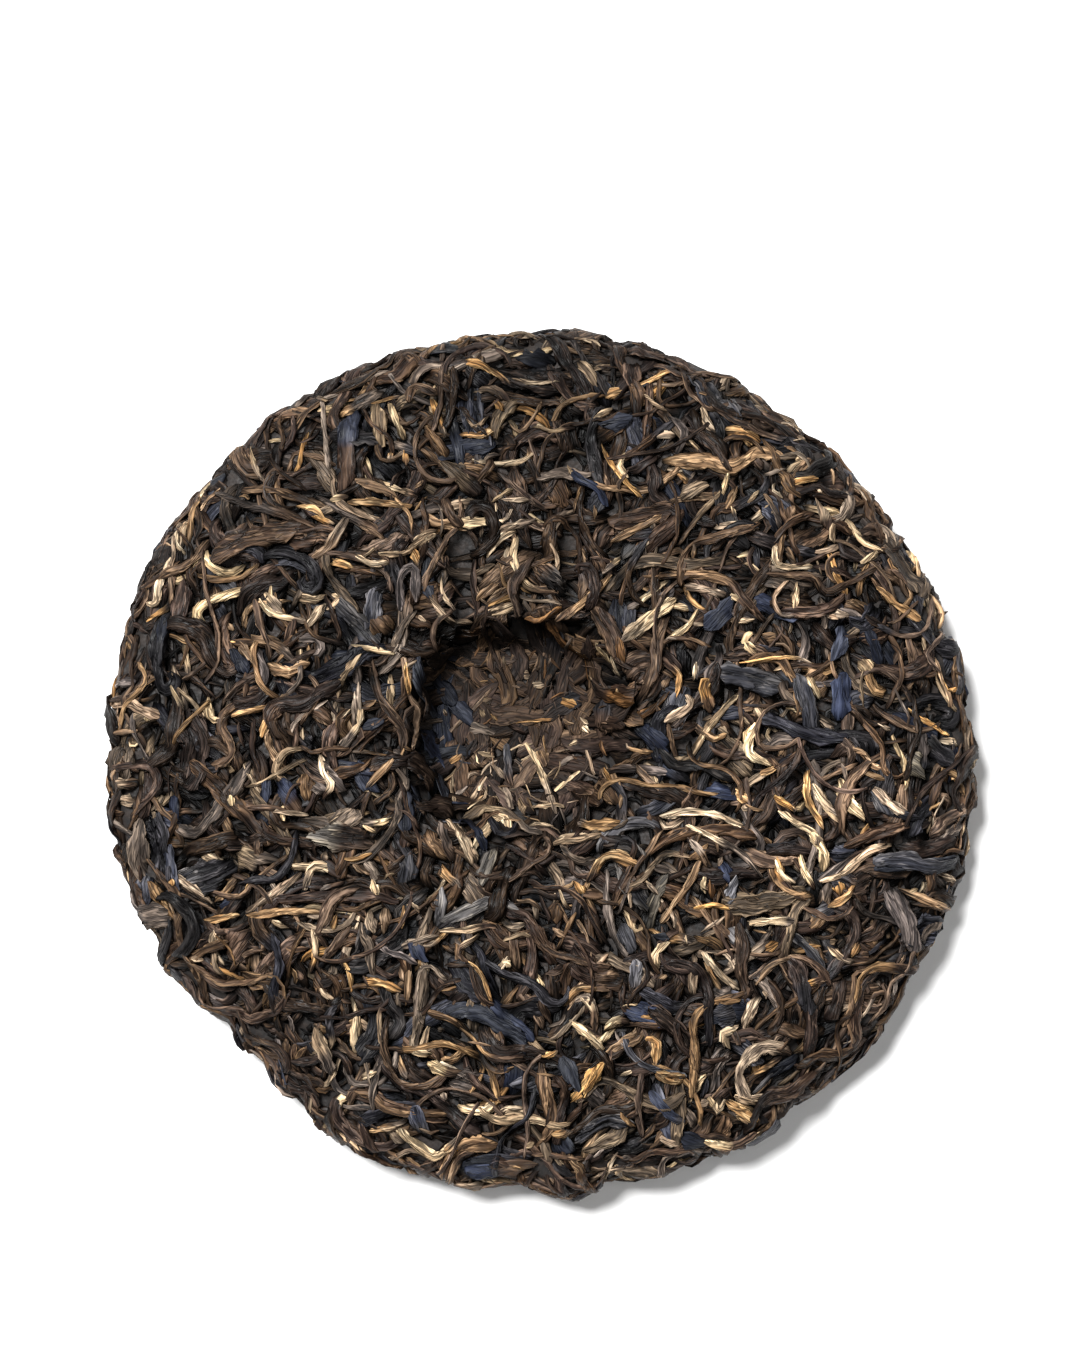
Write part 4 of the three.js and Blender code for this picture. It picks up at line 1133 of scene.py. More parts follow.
    ("cream", 1.1, (-8, -78.6), (-4.2, -79)),
    ("pale", 1.3, (-35.8, -66), (-36.4, -57), (-35, -56.6)),
    ("grey", 1.5, (-36.8, -57), (-35.4, -64.8), (-37.6, -72), (-38.4, -81)),
    ("tan", 1.5, (-31.5, -65.2), (-24, -64), (-18.5, -65), (-12, -69), (-9, -78)),
    ("cream", 1.1, (-40.5, -72.4), (-37.3, -70.6)),
    ("pale", 3.0, (-51, -61), (-48.5, -66.5), (-47.5, -71)),
    ("tan", 1.5, (-32, -67), (-30.3, -72)),
    ("navy", 3.6, (-21, -57), (-14, -56.5), (-7, -61), (-3, -64.5)),
    ("navy", 3.0, (-22.5, -59), (-18, -62.5)),
    ("navy", 3.4, (5.5, -67), (8, -74)),
    ("gold", 1.5, (0.6, -67), (4, -65.6)),
    ("gold", 2.8, (13.5, -68.5), (10.8, -73), (8, -77)),
    ("gold", 1.5, (5.5, -55.5), (8, -51.8), (13, -51.4)),
    ("cream", 1.5, (9.5, -53.2), (12, -56), (12.2, -61)),
    ("cream", 1.8, (7, -59), (10, -61), (14.6, -65.4)),
    ("cream", 2.0, (14.6, -60.8), (17.5, -58.6), (20.3, -58.9)),
    ("slate", 1.5, (18.8, -61), (20.5, -66), (25.5, -69.8), (33.5, -71.2)),
    ("gold", 1.6, (26.2, -71), (29.5, -72.8), (32.6, -72.3)),
    ("gold", 1.9, (24, -63), (26.4, -63.4), (26.2, -69.2)),
    ("brown", 1.5, (23.2, -70.5), (22.2, -78), (23.4, -86)),
    ("tan", 1.7, (34.4, -77), (35.2, -66), (35, -58.5), (39, -54.8), (46, -54.2)),
    ("blue", 5.4, (39.5, -58), (44.6, -57)),
    ("cream", 2.0, (42.2, -64.5), (41.5, -61.8), (44.5, -60.8)),
    ("cream", 1.5, (40, -77.5), (40.4, -80), (42.8, -76.8)),
    ("gold", 2.2, (42.6, -77.6), (46.5, -80), (50.3, -82.6)),
    ("pale", 1.8, (44.3, -76.2), (49, -78), (54, -79.2)),
    ("cream", 1.9, (37.5, -87), (43, -88), (49.5, -84.8)),
    ("navy", 4.0, (32, -85.8), (38, -87.6)),
    ("navy", 2.2, (25, -75), (30, -80.6), (33, -81.6)),
    ("cream", 1.5, (14.4, -92.9), (17.2, -89.7)),
    ("cream", 1.2, (14.2, -96.3), (17, -91.5), (18, -90)),
    ("ash", 1.5, (17.6, -92.6), (19, -96.2), (22.8, -96.9)),
    ("gold", 2.0, (2.8, -84.6), (6.8, -83.8)),
    ("pale", 1.6, (27.5, -85.8), (31.4, -87.4)),
    ("navy", 2.6, (-83.4, -8), (-83, -12)),
    ("navy", 2.6, (-62, -4), (-62, -9)),
    ("dark", 1.3, (-65.5, -66), (-62.2, -73.5), (-60.2, -78)),
    ("dark", 1.6, (-54.5, -76), (-52.4, -83.4)),
    ("black", 3.0, (-49, -80), (-44.8, -89)),
    ("dark", 2.2, (-41.5, -82), (-36.5, -90)),
    ("cream", 1.6, (63.6, -18.5), (61.2, -15.5), (58, -13.8), (54.3, -10.8)),
    ("cream", 2.2, (64.5, -25), (64.3, -20.5), (61.5, -16)),
    ("cream", 1.8, (62, -4.8), (65.5, -10), (69.6, -12.7)),
    ("cream", 3.2, (68.6, -3.8), (70, -8.8), (73.6, -12)),
    ("gold", 1.6, (60.6, -2), (61, -9), (64.5, -14.5)),
    ("gold", 1.4, (53, -7.8), (58, -11)),
    ("cream", 1.3, (59, -20.7), (60.2, -25), (62.5, -28.8)),
    ("cream", 1.3, (53.3, -22), (55, -25.6), (58, -27.6)),
    ("cream", 1.8, (47.5, -36.4), (53, -36), (57.8, -36)),
    ("pale", 1.6, (63.3, -27.2), (69, -25.2), (75, -20.2), (80.6, -18.8)),
    ("slate", 3.6, (62, -34.5), (66.5, -33)),
    ("gold", 1.5, (65, -33), (69, -31), (71.5, -27.5)),
    ("pale", 1.4, (66, -42.2), (69, -44.8), (71.9, -45.4)),
    ("gold", 2.4, (67.4, -27.3), (68.4, -30)),
    ("gold", 2.4, (71.2, -44.5), (72.6, -41)),
    ("blue", 2.0, (57, -38.8), (61, -42.5), (64.5, -47.5)),
    ("tan", 1.5, (49, -51), (53, -46.2), (58, -44.4), (63, -46.5), (66.5, -51)),
    ("gold", 1.7, (60, -50.5), (64, -49.3)),
    ("gold", 1.8, (51, -42.7), (53.8, -41)),
    ("pale", 2.4, (76.5, -6), (79.5, -9.5), (83, -11.7)),
    ("blue", 3.4, (76, -6.5), (79.5, -12)),
    ("slate", 4.6, (83.5, 0.5), (87, -1.5)),
    ("brown", 2.8, (89.5, -16.8), (94, -13), (98, -10.2)),
    ("dark", 2.6, (68.3, -19.8), (76, -16.4), (84, -14.2)),
    ("blue", 3.2, (75.5, -22.8), (82, -22), (90, -24), (97, -22.6)),
    ("dark", 3.6, (82.5, -18.8), (88, -20), (95, -17.5)),
    ("grey", 5.0, (80, -29), (83.5, -37), (84.5, -43)),
    ("pale", 1.4, (90.5, -25.5), (96, -27.8)),
    ("tan", 1.6, (82, -29), (88, -31.5), (94.6, -34.4)),
    ("pale", 1.0, (98.3, -17.5), (99.7, -12), (99.2, -9)),
    ("tan", 1.8, (72, -56), (73.5, -48.5), (79, -46.6), (87.8, -47.4)),
    ("tan", 1.8, (87, -46.5), (87.5, -40), (91.5, -36.8)),
    ("cream", 1.0, (90.2, -43.8), (92.2, -41)),
    ("gold", 1.8, (85.5, -8), (86.8, -10.5)),
    ("tan", 1.3, (62.5, -4.8), (68, -2.2), (72.5, -0.5)),
    ("tan", 1.3, (72.5, -1.5), (76, -3.2), (79, -4)),
    # the hollow's floor
    ("cream", 1.5, (-3.6, 4.4), (-0.5, -0.6), (3.6, -11.5)),
    ("cream", 1.1, (9.6, -1.5), (2.7, -7)),
    ("cream", 1.4, (-2.7, -13.4), (2.7, -13.4)),
    ("gold", 0.8, (-5.4, 8.9), (3.2, 9.6)),
    ("pale", 1.0, (10, 4.4), (11.8, -2.9)),
    ("pale", 1.2, (-12.3, -3.4), (-16.4, -9.7)),
    ("pale", 1.0, (-20, -2.9), (-19.5, -9.3)),
    ("tan", 0.9, (-10, 18), (-14.5, 12.6), (-23.2, 4.4)),
    ("navy", 5.0, (-23, 12.6), (-22, -1)),
    ("navy", 1.8, (-24, 14), (-20, 20.5)),
    ("navy", 4.6, (-26, 7), (-21, -2)),
    ("navy", 3.6, (-20, 13.5), (-15.5, 9)),
    ("navy", 3.4, (-24, 19.5), (-19.5, 13)),
    ("blue", 1.8, (-7.7, 3.9), (-6.8, -5.5)),
    ("dark", 3.2, (5.5, -4.8), (12.5, -7)),
    ("brown", 3.8, (-10.6, 25), (-10.2, 20.5)),
    ("pale", 0.9, (-8.4, 24.2), (-8.1, 21)),
    ("cream", 1.8, (-1.4, 17.3), (0.9, 17.5)),
    ("pale", 1.6, (-4, 19.9), (-2.2, 19.6)),
    ("gold", 2.4, (4.6, 13.9), (8.4, 12.6)),
    ("tan", 1.0, (5.4, 9.3), (7.8, 8.3)),
    ("cream", 1.5, (9.6, 8), (11, 6.6)),
    ("cream", 0.9, (9.2, 10), (10.8, 8.6)),
    ("ash", 2.6, (-16.6, 7.6), (-13.5, 7.4), (-10.5, 6.2)),
    ("ash", 1.4, (-13.3, 13.3), (-11, 14.2)),
    ("pale", 1.1, (-13.8, 11.9), (-12.7, 10)),
    ("gold", 0.9, (-11.5, 11.2), (-9.8, 9.3)),
    ("cream", 0.9, (-22.2, 11.9), (-21.4, 10.4)),
    ("ash", 1.2, (-27, 8.6), (-22.2, 9.5)),
    ("pale", 1.0, (-16.6, -4.1), (-15.7, -2.8), (-12.9, -3.2)),
    ("ash", 2.0, (-16.6, -11.6), (-10.5, -10.7), (-6.8, -12.5), (-3, -14.9), (0.8, -15.4)),
    ("tan", 2.6, (0.4, 2.6), (1.4, -0.8)),
    ("pale", 1.1, (-14.3, 2), (-10.5, 1.1)),
    ("pale", 1.5, (-10.5, -0.8), (-8.2, -4.1)),
    ("ash", 1.6, (-8.2, -6), (-6.6, -10)),
    ("pale", 1.8, (-4.9, -8.3), (-3.4, -10.8)),
    ("gold", 1.4, (-20.8, -0.3), (-18, 1.5)),
    ("pale", 1.2, (1.7, -3.6), (4.2, -1.6)),
    ("ash", 1.2, (4.5, -0.8), (7.8, 1.1)),
    ("pale", 1.1, (-12.5, -5.8), (-9.5, -8.8)),
    ("ash", 1.2, (-19, -7.5), (-16.8, -5.5)),
    ("pale", 1.2, (6.4, 3.4), (9, 5)),
    ("ash", 2.8, (12, 18.4), (14.2, 14.4)),
    ("brown", 2.4, (14, 35), (17.6, 27.5), (19.3, 22.6)),
    ("rust", 1.7, (17.6, 29), (19, 22.7)),
    ("gold", 1.0, (17.5, 16.8), (18, 15)),
    ("rust", 1.2, (13.4, 5.4), (14.1, 1.5)),
    ("gold", 1.2, (15.3, -1.5), (16.7, -5)),
    ("gold", 1.4, (-30.4, 22.7), (-29.3, 15.2)),
]


KIND_OF_LOOK = {
    "black": "black_strips", "dark": "dark_strips", "brown": "brown_strips", "tan": "brown_strips",
    "grey": "grey_strips", "ash": "grey_strips", "blue": "dusk_blades", "navy": "navy_blades",
    "slate": "dusk_blades", "rust": "brown_strips",
    "gold": "gold_buds", "pale": "pale_buds", "cream": "pale_buds",
}
BLADE_WIDTH = 2.9               # a dark, grey or blue leaf from this width up is a blade
STALK_WIDTH = 1.35              # a leaf up to this width is a stalk, unless it is pale
SHOWN_WIDENING = 1.1            # as the leaves round it cover its edges


def shown_leaf(row):
    look, width, *points = row
    path, length = even_path(chart_from_above(points))
    kind = KIND_OF_LOOK[look]
    if width <= STALK_WIDTH and look not in PALE_LOOKS:
        kind = "stalks"
    elif width >= BLADE_WIDTH and look in ("dark", "grey", "blue"):
        kind = "dusk_blades"
    shape = "strip" if look in PALE_LOOKS and width > STALK_WIDTH else KINDS[kind].shape
    return Leaf(kind, shape, look, SHOWN_WIDENING * width, length, path, is_named=True)


def shuffled(groups):
    leaves = [leaf for group in groups for leaf in group]
    return [leaves[index] for index in rng.permutation(len(leaves))]


def middle_points(leaves):
    """Where the middles of leaves on the top lie, seen from above."""
    return skin(np.array([leaf.path[PATH_STEPS // 2] for leaf in leaves]), False)[:, :2]


def outside_hollow(leaves):
    """Leave out what would lie in the hollow, but keep what crosses its lip or runs down its wall."""
    middles = middle_points(leaves)
    share = hollow_depth(middles[:, 0], middles[:, 1]) / HOLLOW_DEPTH
    limits = rng.uniform(0.4, 0.95, len(leaves))
    return [leaf for leaf, deep, limit in zip(leaves, share, limits) if deep < limit]


def raised_ends(leaves):
    """Let one end of some stout leaves near the rim stand out."""
    for leaf in leaves:
        is_rim = np.hypot(*leaf.path[-1]) > RIM_WAY
        if is_rim and leaf.width > 1.4 and leaf.length < 14 and rng.random() < 0.35:
            leaf.lift = rng.uniform(0.6, 1.6)
    return leaves


# Looks of the leaves on the hollow's walls, by the side they are on
WEST_WALL_LOOKS = ("navy", "coal", "black", "navy", "black")
EAST_WALL_LOOKS = ("rust", "brown", "dark", "black", "rust")
NORTH_WALL_LOOKS = ("dark", "black", "rust", "black")


def colour_walls(leaves):
    """Give most leaves on the hollow's walls the looks of their side."""
    for leaf, (x, y) in zip(leaves, middle_points(leaves)):
        share = hollow_depth(x, y) / HOLLOW_DEPTH
        if share < rng.uniform(0.05, 0.5) or leaf.look in PALE_LOOKS and rng.random() < 0.3:
            continue
        side = abs(x - HOLLOW_MIDDLE[0]) - abs(y - HOLLOW_MIDDLE[1])
        if side > 0:
            leaf.look = rng.choice(WEST_WALL_LOOKS if x < HOLLOW_MIDDLE[0] else EAST_WALL_LOOKS)
        elif y > HOLLOW_MIDDLE[1]:
            leaf.look = rng.choice(NORTH_WALL_LOOKS)
    return leaves


# Layers of each pile from the bottom up: how many leaves of each kind are drawn
TOP_BED = {"dark_strips": 250, "black_strips": 360, "crumpled_leaves": 130, "brown_strips": 80}
TOP_MAIN = {
    "dark_strips": 330, "black_strips": 350, "brown_strips": 240, "grey_strips": 200,
    "crumpled_leaves": 200, "navy_blades": 110, "dusk_blades": 140, "pale_buds": 230,
    "gold_buds": 190, "stalks": 220, "slivers": 620, "flakes": 300, "pale_chips": 260,
}
TOP_LOOSE = {
    "dark_strips": 110, "black_strips": 130, "brown_strips": 75, "grey_strips": 65,
    "crumpled_leaves": 45, "dusk_blades": 25, "pale_buds": 25, "gold_buds": 25, "stalks": 90,
}
TOP_SCRAPS = {"black_strips": 40, "brown_strips": 25, "stalks": 50, "slivers": 100, "pale_chips": 80}
UNDER_BED = {"dark_strips": 280, "black_strips": 330, "crumpled_leaves": 120, "brown_strips": 120}
UNDER_MAIN = {
    "dark_strips": 200, "black_strips": 180, "brown_strips": 150, "grey_strips": 130,
    "crumpled_leaves": 110, "navy_blades": 60, "dusk_blades": 90, "pale_buds": 90,
    "gold_buds": 80, "stalks": 110, "slivers": 200, "pale_chips": 160,
}


def layer(is_under, edge, counts):
    groups = [scatter(kind, count, is_under, 0, edge) for kind, count in counts.items()]
    leaves = shuffled(groups)
    return leaves if is_under else colour_walls(outside_hollow(leaves))


# The hollow's floor: kind, count and size of what is drawn for it, and how far round the chart
FLOOR_LAYERS = (("pressed_leaves", 420, 1.1), ("slivers", 900, 0.6))
FLOOR_REACH = 38
LEAST_FLOOR_DEPTH = 0.3         # share of the hollow's depth at which its floor is taken to begin
BLUE_SIDE = -19                 # west of here the floor is blue-black
THIN_SIDE = 3                   # north of here this share of its splinters is left out
THINNED_SHARE = 0.65
BLUE_LEAF_LOOKS = ("navy", "black", "black")

# Looks of the splinters on the floor, by place
SOUTH_FLOOR_LOOKS = ("pale", "ash", "tan", "cream", "dark", "grey")
NORTH_FLOOR_LOOKS = ("dark", "brown", "rust", "dark", "black", "rust", "tan")
WEST_FLOOR_LOOKS = ("navy", "coal", "blue", "dark", "navy", "navy")


def floor_look(x, y):
    if x < BLUE_SIDE + rng.normal(0, 2):
        return rng.choice(WEST_FLOOR_LOOKS)
    return rng.choice(SOUTH_FLOOR_LOOKS if y < 2 + rng.normal(0, 3) else NORTH_FLOOR_LOOKS)


def floor_leaves():
    """Leaves pressed flat into the hollow's floor, and splinters on them."""
    chosen = []
    for kind, count, size in FLOOR_LAYERS:
        leaves = scatter(kind, count, False, 0, FLOOR_REACH, size)
        for leaf, (x, y) in zip(leaves, middle_points(leaves)):
            if hollow_depth(x, y) < LEAST_FLOOR_DEPTH * HOLLOW_DEPTH:
                continue
            if kind == "slivers":
                if y > THIN_SIDE and rng.random() < THINNED_SHARE:
                    continue
                leaf.look = floor_look(x, y)
            elif x < BLUE_SIDE:
                leaf.look = rng.choice(BLUE_LEAF_LOOKS)
            chosen.append(leaf)
    return chosen


# Flakes drawn all round the rim, of which those near the crumbled patch are kept
FLAKE_COUNT = 2600
FLAKE_START = 76
FLAKE_SIZE = 0.8


def crumbled_flakes():
    """Broken bits where the rim has crumbled."""
    flakes = scatter("flakes", FLAKE_COUNT, False, FLAKE_START, TOP_EDGE, FLAKE_SIZE)
    middles = middle_points(flakes)
    turn = np.degrees(np.arctan2(middles[:, 1], middles[:, 0]))
    is_near = turn_between(turn, CHIP_ANGLE) < CHIP_SPREAD * rng.uniform(0.2, 1.1, len(flakes))
    return [leaf for leaf, near in zip(flakes, is_near) if near]


def top_pile():
    pile = Pile(is_under=False)
    pile.lay_all(layer(False, TOP_EDGE, TOP_BED))
    pile.lay_all(layer(False, TOP_EDGE, TOP_MAIN))
    pile.lay_all(floor_leaves())
    pile.lay_all(crumbled_flakes())
    pile.lay_all(raised_ends(layer(False, TOP_EDGE, TOP_LOOSE)))
    shown = [shown_leaf(row) for row in SHOWN_LEAVES]
    pile.lay_all([leaf for leaf in shown if leaf.look not in PALE_LOOKS])
    pile.lay_all([leaf for leaf in shown if leaf.look in PALE_LOOKS])
    pile.lay_all(raised_ends(layer(False, TOP_EDGE, TOP_SCRAPS)))
    pile.press()
    return pile


def under_pile():
    pile = Pile(is_under=True)
    pile.lay_all(layer(True, UNDER_EDGE, UNDER_BED))
    pile.lay_all(layer(True, UNDER_EDGE, UNDER_MAIN))
    pile.press()
    return pile


class Nodes:
    """Short calls for building a material's nodes."""

    def __init__(self, name):
        self.material = bpy.data.materials.new(name)
        self.material.use_nodes = True
        self.tree = self.material.node_tree
        self.surface = self.tree.nodes["Principled BSDF"]

    def node(self, kind, **settings):
        node = self.tree.nodes.new(kind)
        for name, value in settings.items():
            setattr(node, name, value)
        return node

    def link(self, source, target):
        self.tree.links.new(source, target)

    def feed(self, socket, value):
        if isinstance(value, bpy.types.NodeSocket):
            self.link(value, socket)
        else:
            socket.default_value = value

    def attribute(self, name):
        return self.node("ShaderNodeAttribute", attribute_type="GEOMETRY", attribute_name=name)

    def math(self, operation, first, second=0.0, third=0.0, clamp=False):
        node = self.node("ShaderNodeMath", operation=operation, use_clamp=clamp)
        for socket, value in zip(node.inputs, (first, second, third)):
            self.feed(socket, value)
        return node.outputs[0]

    def noise(self, vector, scale, detail=3.0, roughness=0.55, distortion=0.0):
        mapping = self.node("ShaderNodeMapping")
        self.link(vector, mapping.inputs["Vector"])
        mapping.inputs["Scale"].default_value = scale
        noise = self.node("ShaderNodeTexNoise")
        self.link(mapping.outputs[0], noise.inputs["Vector"])
        noise.inputs["Scale"].default_value = 1.0
        noise.inputs["Detail"].default_value = detail
        noise.inputs["Roughness"].default_value = roughness
        noise.inputs["Distortion"].default_value = distortion
        return noise.outputs["Fac"]

    def spread(self, value, start, end, at_start=0.0, at_end=1.0):
        node = self.node("ShaderNodeMapRange", interpolation_type="SMOOTHSTEP")
        for socket, setting in zip(node.inputs, (value, start, end, at_start, at_end)):
            self.feed(socket, setting)
        return node.outputs[0]

    def grey(self, value):
        node = self.node("ShaderNodeCombineColor")
        for socket in node.inputs:
            self.feed(socket, value)
        return node.outputs[0]

    def bump(self, height, strength, distance):
        node = self.node("ShaderNodeBump")
        node.inputs["Strength"].default_value = strength
        node.inputs["Distance"].default_value = distance
        self.link(height, node.inputs["Height"])
        self.link(node.outputs[0], self.surface.inputs["Normal"])

    def mix(self, share, first, second, blend="MIX"):
        node = self.node("ShaderNodeMix", data_type="RGBA", blend_type=blend)
        self.feed(node.inputs[0], share)
        self.feed(node.inputs[6], first)
        self.feed(node.inputs[7], second)
        return node.outputs[2]


LEAF_SPECULAR = 0.13            # dry leaf has little gloss
LEAF_BUMP_HEIGHT = 0.4 * MM
CORE_BUMP_HEIGHT = 0.5 * MM


def leaf_material(name, line, contrast, roughness, bump):
    """Dry leaf: a painted highlight on thin raised lines along it, painted shade in its dark creases, and
    fine fibres.
    """
    nodes = Nodes(name)
    body, accent = nodes.attribute("body").outputs["Color"], nodes.attribute("accent").outputs["Color"]
    fibre = nodes.attribute("fibre").outputs["Vector"]
    raised = nodes.noise(fibre, (0.8, 0.12, 1), 1.0, distortion=0.9)
    sunken = nodes.noise(fibre, (1.0, 0.12, 1.7), 1.0, distortion=0.8)
    fibres = nodes.noise(fibre, (2.2, 0.24, 1), 3.0, 0.6, 0.3)
    patches = nodes.noise(fibre, (0.5, 0.22, 1.3), 1.0)
    raised = nodes.math("ABSOLUTE", nodes.math("SUBTRACT", raised, 0.5))
    sunken = nodes.math("ABSOLUTE", nodes.math("SUBTRACT", sunken, 0.5))
    crease = nodes.spread(sunken, 0.015, 0.085, 1.0, 0.0)
    ridge = nodes.spread(raised, 0.012, 0.07, 1.0, 0.0)
    ridge = nodes.math("MULTIPLY", ridge, nodes.spread(patches, 0.42, 0.64, 0.04, line))
    grain = nodes.spread(fibres, 0.42, 0.58, 1 - 0.65 * contrast, 1 + 0.5 * contrast)
    colour = nodes.mix(1.0, body, nodes.grey(grain), "MULTIPLY")
    # Painted highlight: the accent colour on the raised lines
    colour = nodes.mix(ridge, colour, accent)
    # Painted shade: the colour darkened in the creases
    dark = nodes.mix(1.0, colour, (1 - contrast,) * 3 + (1,), "MULTIPLY")
    nodes.link(nodes.mix(crease, colour, dark), nodes.surface.inputs["Base Color"])
    rough = nodes.spread(fibres, 0.3, 0.7, roughness - 0.1, roughness + 0.12)
    nodes.link(rough, nodes.surface.inputs["Roughness"])
    nodes.surface.inputs["Specular IOR Level"].default_value = LEAF_SPECULAR
    rise = nodes.math("SUBTRACT", nodes.math("MULTIPLY", ridge, 0.6), nodes.math("MULTIPLY", crease, 0.8))
    rise = nodes.math("ADD", rise, nodes.math("MULTIPLY", fibres, 0.5))
    nodes.bump(rise, bump, LEAF_BUMP_HEIGHT)
    return nodes.material


def core_material():
    """Packed leaf in the gaps: nearly black brown, as painted shade of the deep gaps, mottled."""
    nodes = Nodes("packed_leaf")
    coordinates = nodes.node("ShaderNodeTexCoord")
    mottle = nodes.noise(coordinates.outputs["Object"], (420, 420, 420), 4)
    grain = nodes.noise(coordinates.outputs["Object"], (1500, 1500, 1500), 2)
    share = nodes.spread(mottle, 0.35, 0.68)
    # Nearly black: painted shade where the gaps between leaves go deep
    colour = nodes.mix(share, (*colour_channels((12, 9, 8)), 1), (*colour_channels((34, 26, 21)), 1))
    nodes.link(colour, nodes.surface.inputs["Base Color"])
    nodes.link(nodes.spread(grain, 0.3, 0.7, 0.65, 0.9), nodes.surface.inputs["Roughness"])
    nodes.bump(mottle, 0.7, CORE_BUMP_HEIGHT)
    return nodes.material


CORE_RINGS = 110
CORE_SECTORS = 200


def core_faces(rings, sectors):
    """Quads between the rings, and triangles from the first and last ring to their middles."""
    faces = []
    for ring in range(rings - 1):
        here, beyond = ring * sectors, (ring + 1) * sectors
        for sector in range(sectors):
            beside = (sector + 1) % sectors
            faces.append((here + sector, beyond + sector, beyond + beside, here + beside))
    last = (rings - 1) * sectors
    top_middle, under_middle = rings * sectors, rings * sectors + 1
    for sector in range(sectors):
        beside = (sector + 1) % sectors
        faces.append((sector, beside, top_middle))
        faces.append((last + beside, last + sector, under_middle))
    return faces


def core_piece():
    """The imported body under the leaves."""
    rings, sectors = CORE_RINGS, CORE_SECTORS
    ways = np.linspace(0, WAYS[-1], rings + 2)[1:-1]
    turns = np.linspace(0, 2 * np.pi, sectors, endpoint=False)
    way, turn = np.meshgrid(ways, turns, indexing="ij")
    is_top = way < WIDEST_WAY
    top_chart = np.stack([way * np.cos(turn), way * np.sin(turn)], axis=-1)
    back = WAYS[-1] - way
    under_chart = np.stack([back * np.cos(turn), back * np.sin(turn)], axis=-1)
    point = np.where(is_top[..., None], skin(top_chart, False), skin(under_chart, True))
    normal = np.where(is_top[..., None], slopes(top_chart, False)[2], slopes(under_chart, True)[2])
    x, y = point[..., 0], point[..., 1]
    lumps = 0.35 * (np.sin(x / 1.9 + 2 * np.sin(y / 3.1)) + np.sin(y / 1.7 + 2 * np.sin(x / 2.7)))
    from_rim = np.abs(way - WIDEST_WAY)
    depth = CORE_DEPTH * (1 - 0.5 * smoothstep(from_rim, 16, 5))
    depth = depth * (0.45 + 0.55 * relief_share(x, y)) - lumps * relief_share(x, y)
    point = point - normal * depth[..., None]
    middles = np.array([point[0].mean(axis=0), point[-1].mean(axis=0)])
    points = np.vstack([point.reshape(-1, 3), middles]) * MM
    faces = core_faces(rings, sectors)
    mesh = bpy.data.meshes.new("packed_core")
    mesh.from_pydata(points.tolist(), [], faces)
    mesh.polygons.foreach_set("use_smooth", np.ones(len(faces), bool))
    mesh.materials.append(core_material())
    return place_object("packed_core", mesh)


# Finish of each kind: how bright the painted highlight on its raised lines is, how dark the painted shade in
# its creases and how strong its grain is, roughness, bump
FINISHES = {
    "dark_strips": (0.6, 0.6, 0.5, 0.8), "black_strips": (0.5, 0.55, 0.45, 0.8),
    "brown_strips": (0.65, 0.6, 0.55, 0.8), "grey_strips": (0.75, 0.6, 0.6, 0.8),
    "crumpled_leaves": (0.8, 0.65, 0.5, 1.0),
    "navy_blades": (0.35, 0.45, 0.5, 0.6), "dusk_blades": (0.6, 0.6, 0.5, 0.8),
    "pale_buds": (0.9, 0.72, 0.7, 0.9), "gold_buds": (0.9, 0.72, 0.7, 0.9),
    "stalks": (0.5, 0.6, 0.6, 0.7), "slivers": (0.5, 0.6, 0.65, 0.6),
    "pressed_leaves": (0.35, 0.5, 0.65, 0.6), "flakes": (0.6, 0.6, 0.65, 0.6),
    "pale_chips": (0.7, 0.65, 0.7, 0.7),
}


BURIED_SHARE = 0.4              # a leaf that shows less than this gets fewer faces
PLAIN_WIDTH = 1.5               # and so does one that is narrower than this
COARSE_STEP = 1.5               # how much longer the steps of the plainest leaves are


def kept_leaves(pile, kind):
    """Leaves of a kind that show, each with how much of it shows."""
    kept = []
    for index, leaf in enumerate(pile.leaves):
        shown = pile.shown[index]
        if leaf.kind == kind and (leaf.is_named or shown > LEAST_SHOWN):
            kept.append((leaf, shown / (0.8 * leaf.width * leaf.length)))
    return sorted(kept, key=lambda pair: pair[0].girth())


def leaf_pieces(piles):
    """One piece for each kind of leaf on each side of the cake."""
    pieces = []
    for kind in KINDS:
        material = leaf_material(kind + "_leaf", *FINISHES[kind])
        for place, pile in piles.items():
            kept = kept_leaves(pile, kind)
            if not kept:
                continue
            gathered = LeafMesh([leaf for leaf, share in kept])
            for leaf, share in kept:
                is_coarse = share < BURIED_SHARE or pile.is_under
                is_plain = is_coarse or leaf.width < PLAIN_WIDTH
                gathered.add(leaf, pile, is_plain, COARSE_STEP if is_coarse else 1.0)
            piece = gathered.build(kind + "_" + place, material)
            pieces.append(piece)
    return pieces


# The ground, in metres
GROUND_HALF = 20.0
GROUND_DROP = 0.0002


def floor_piece():
    mesh = bpy.data.meshes.new("floor")
    corners = [(x * GROUND_HALF, y * GROUND_HALF, 0) for x, y in ((-1, -1), (1, -1), (1, 1), (-1, 1))]
    mesh.from_pydata(corners, [], [(0, 1, 2, 3)])
    nodes = Nodes("pale_floor")
    nodes.surface.inputs["Base Color"].default_value = (0.9, 0.9, 0.895, 1)
    nodes.surface.inputs["Roughness"].default_value = 0.9
    mesh.materials.append(nodes.material)
    floor = place_object("floor", mesh)
    floor.location.z = -GROUND_DROP


# The photograph's frame and the cake's place in it
PHOTO_SIZE = (1080, 1350)
CAKE_MIDDLE_PIXEL = (540, 761)
MM_PER_PIXEL = 0.23
CAMERA_HEIGHT = 1000.0
SENSOR_HEIGHT = 36


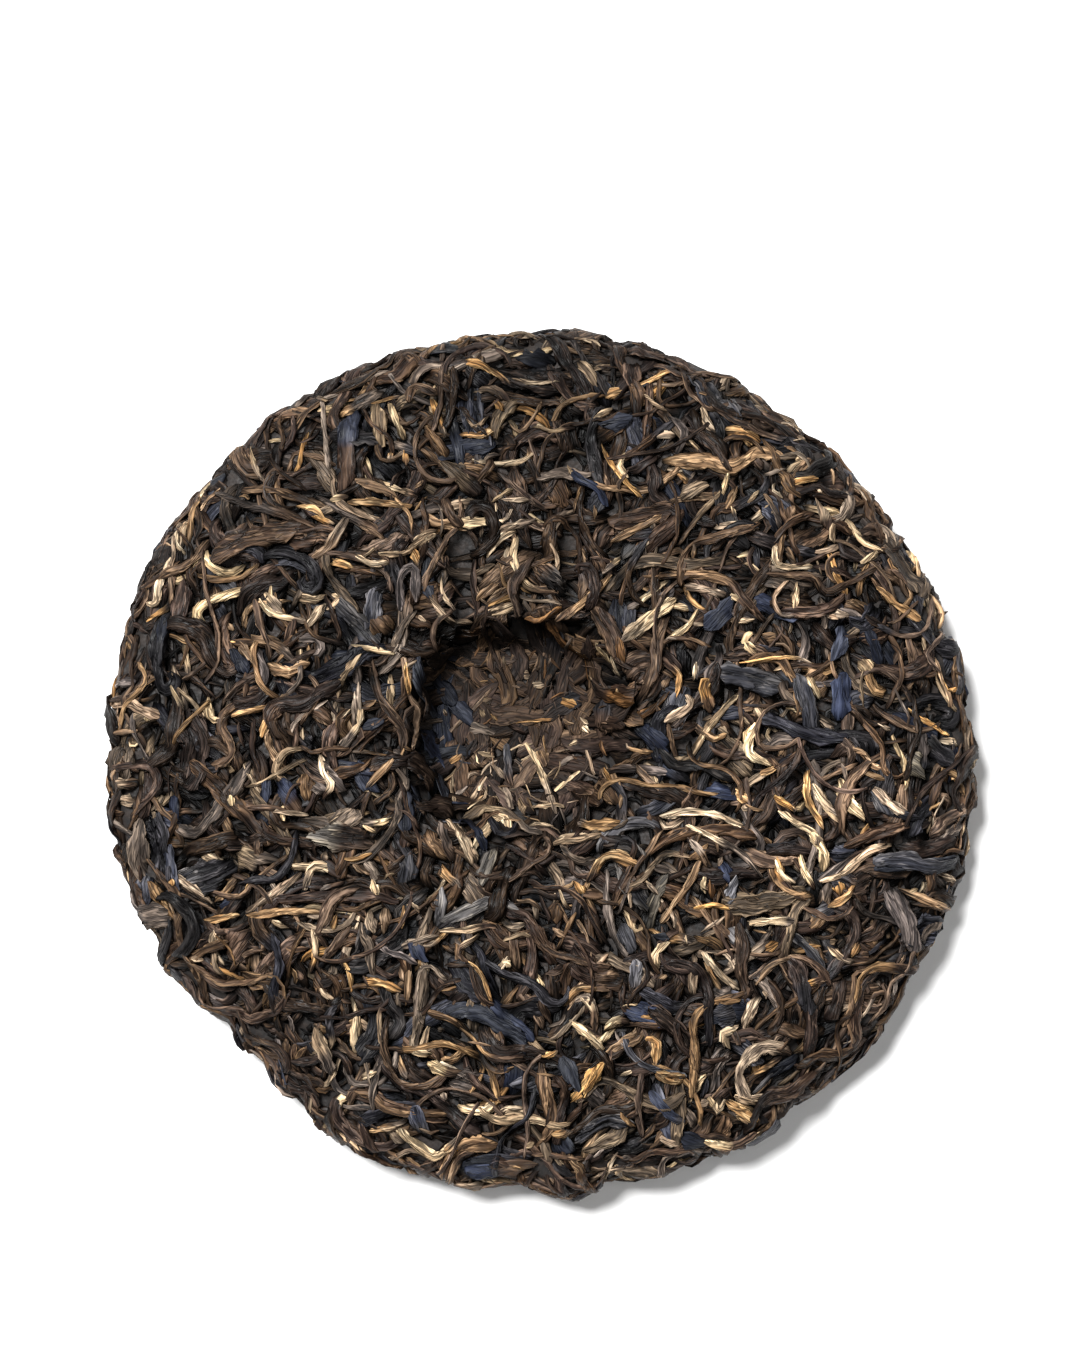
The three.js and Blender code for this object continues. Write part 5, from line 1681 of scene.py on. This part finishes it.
def aim_camera():
    data = bpy.data.cameras.new("camera")
    data.sensor_fit = "VERTICAL"
    data.sensor_height = SENSOR_HEIGHT
    data.lens = SENSOR_HEIGHT * CAMERA_HEIGHT / (PHOTO_SIZE[1] * MM_PER_PIXEL)
    camera = place_object("camera", data)
    x = (PHOTO_SIZE[0] / 2 - CAKE_MIDDLE_PIXEL[0]) * MM_PER_PIXEL
    y = (CAKE_MIDDLE_PIXEL[1] - PHOTO_SIZE[1] / 2) * MM_PER_PIXEL
    camera.location = (x * MM, y * MM, (CAMERA_HEIGHT + WIDEST_HEIGHT) * MM)
    bpy.context.scene.camera = camera


# The key light: where it comes from, its strength, and its spread in degrees
KEY_FROM = (-0.44, 0.52, 1.15)
KEY_STRENGTH = 7.3
KEY_SOFTNESS = 20

# The soft light overhead: place and size in metres, and power; and the light from all round
OVERHEAD_PLACE = (0.3, -0.15, 1.5)
OVERHEAD_SIZE = 0.9
OVERHEAD_POWER = 6
WORLD_STRENGTH = 0.08


def key_light():
    data = bpy.data.lights.new("key", "SUN")
    data.energy = KEY_STRENGTH
    data.angle = math.radians(KEY_SOFTNESS)
    light = place_object("key", data)
    light.rotation_euler = Vector(KEY_FROM).to_track_quat("Z", "Y").to_euler()


def overhead_light():
    data = bpy.data.lights.new("overhead", "AREA")
    data.size = OVERHEAD_SIZE
    data.energy = OVERHEAD_POWER
    light = place_object("overhead", data)
    light.location = OVERHEAD_PLACE
    toward = -light.location.normalized()
    light.rotation_euler = toward.to_track_quat("-Z", "Y").to_euler()


def light_stage():
    key_light()
    overhead_light()
    world = bpy.data.worlds.new("studio")
    world.use_nodes = True
    background = world.node_tree.nodes["Background"]
    background.inputs["Color"].default_value = (1, 1, 1, 1)
    background.inputs["Strength"].default_value = WORLD_STRENGTH
    bpy.context.scene.world = world
    bpy.context.scene.view_settings.view_transform = "Standard"


aim_camera()
light_stage()
floor_piece()
pieces = leaf_pieces({"top": top_pile(), "under": under_pile()})
core = core_piece()
for piece in pieces + [core]:
    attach(piece, "root")
    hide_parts("tea_cake")
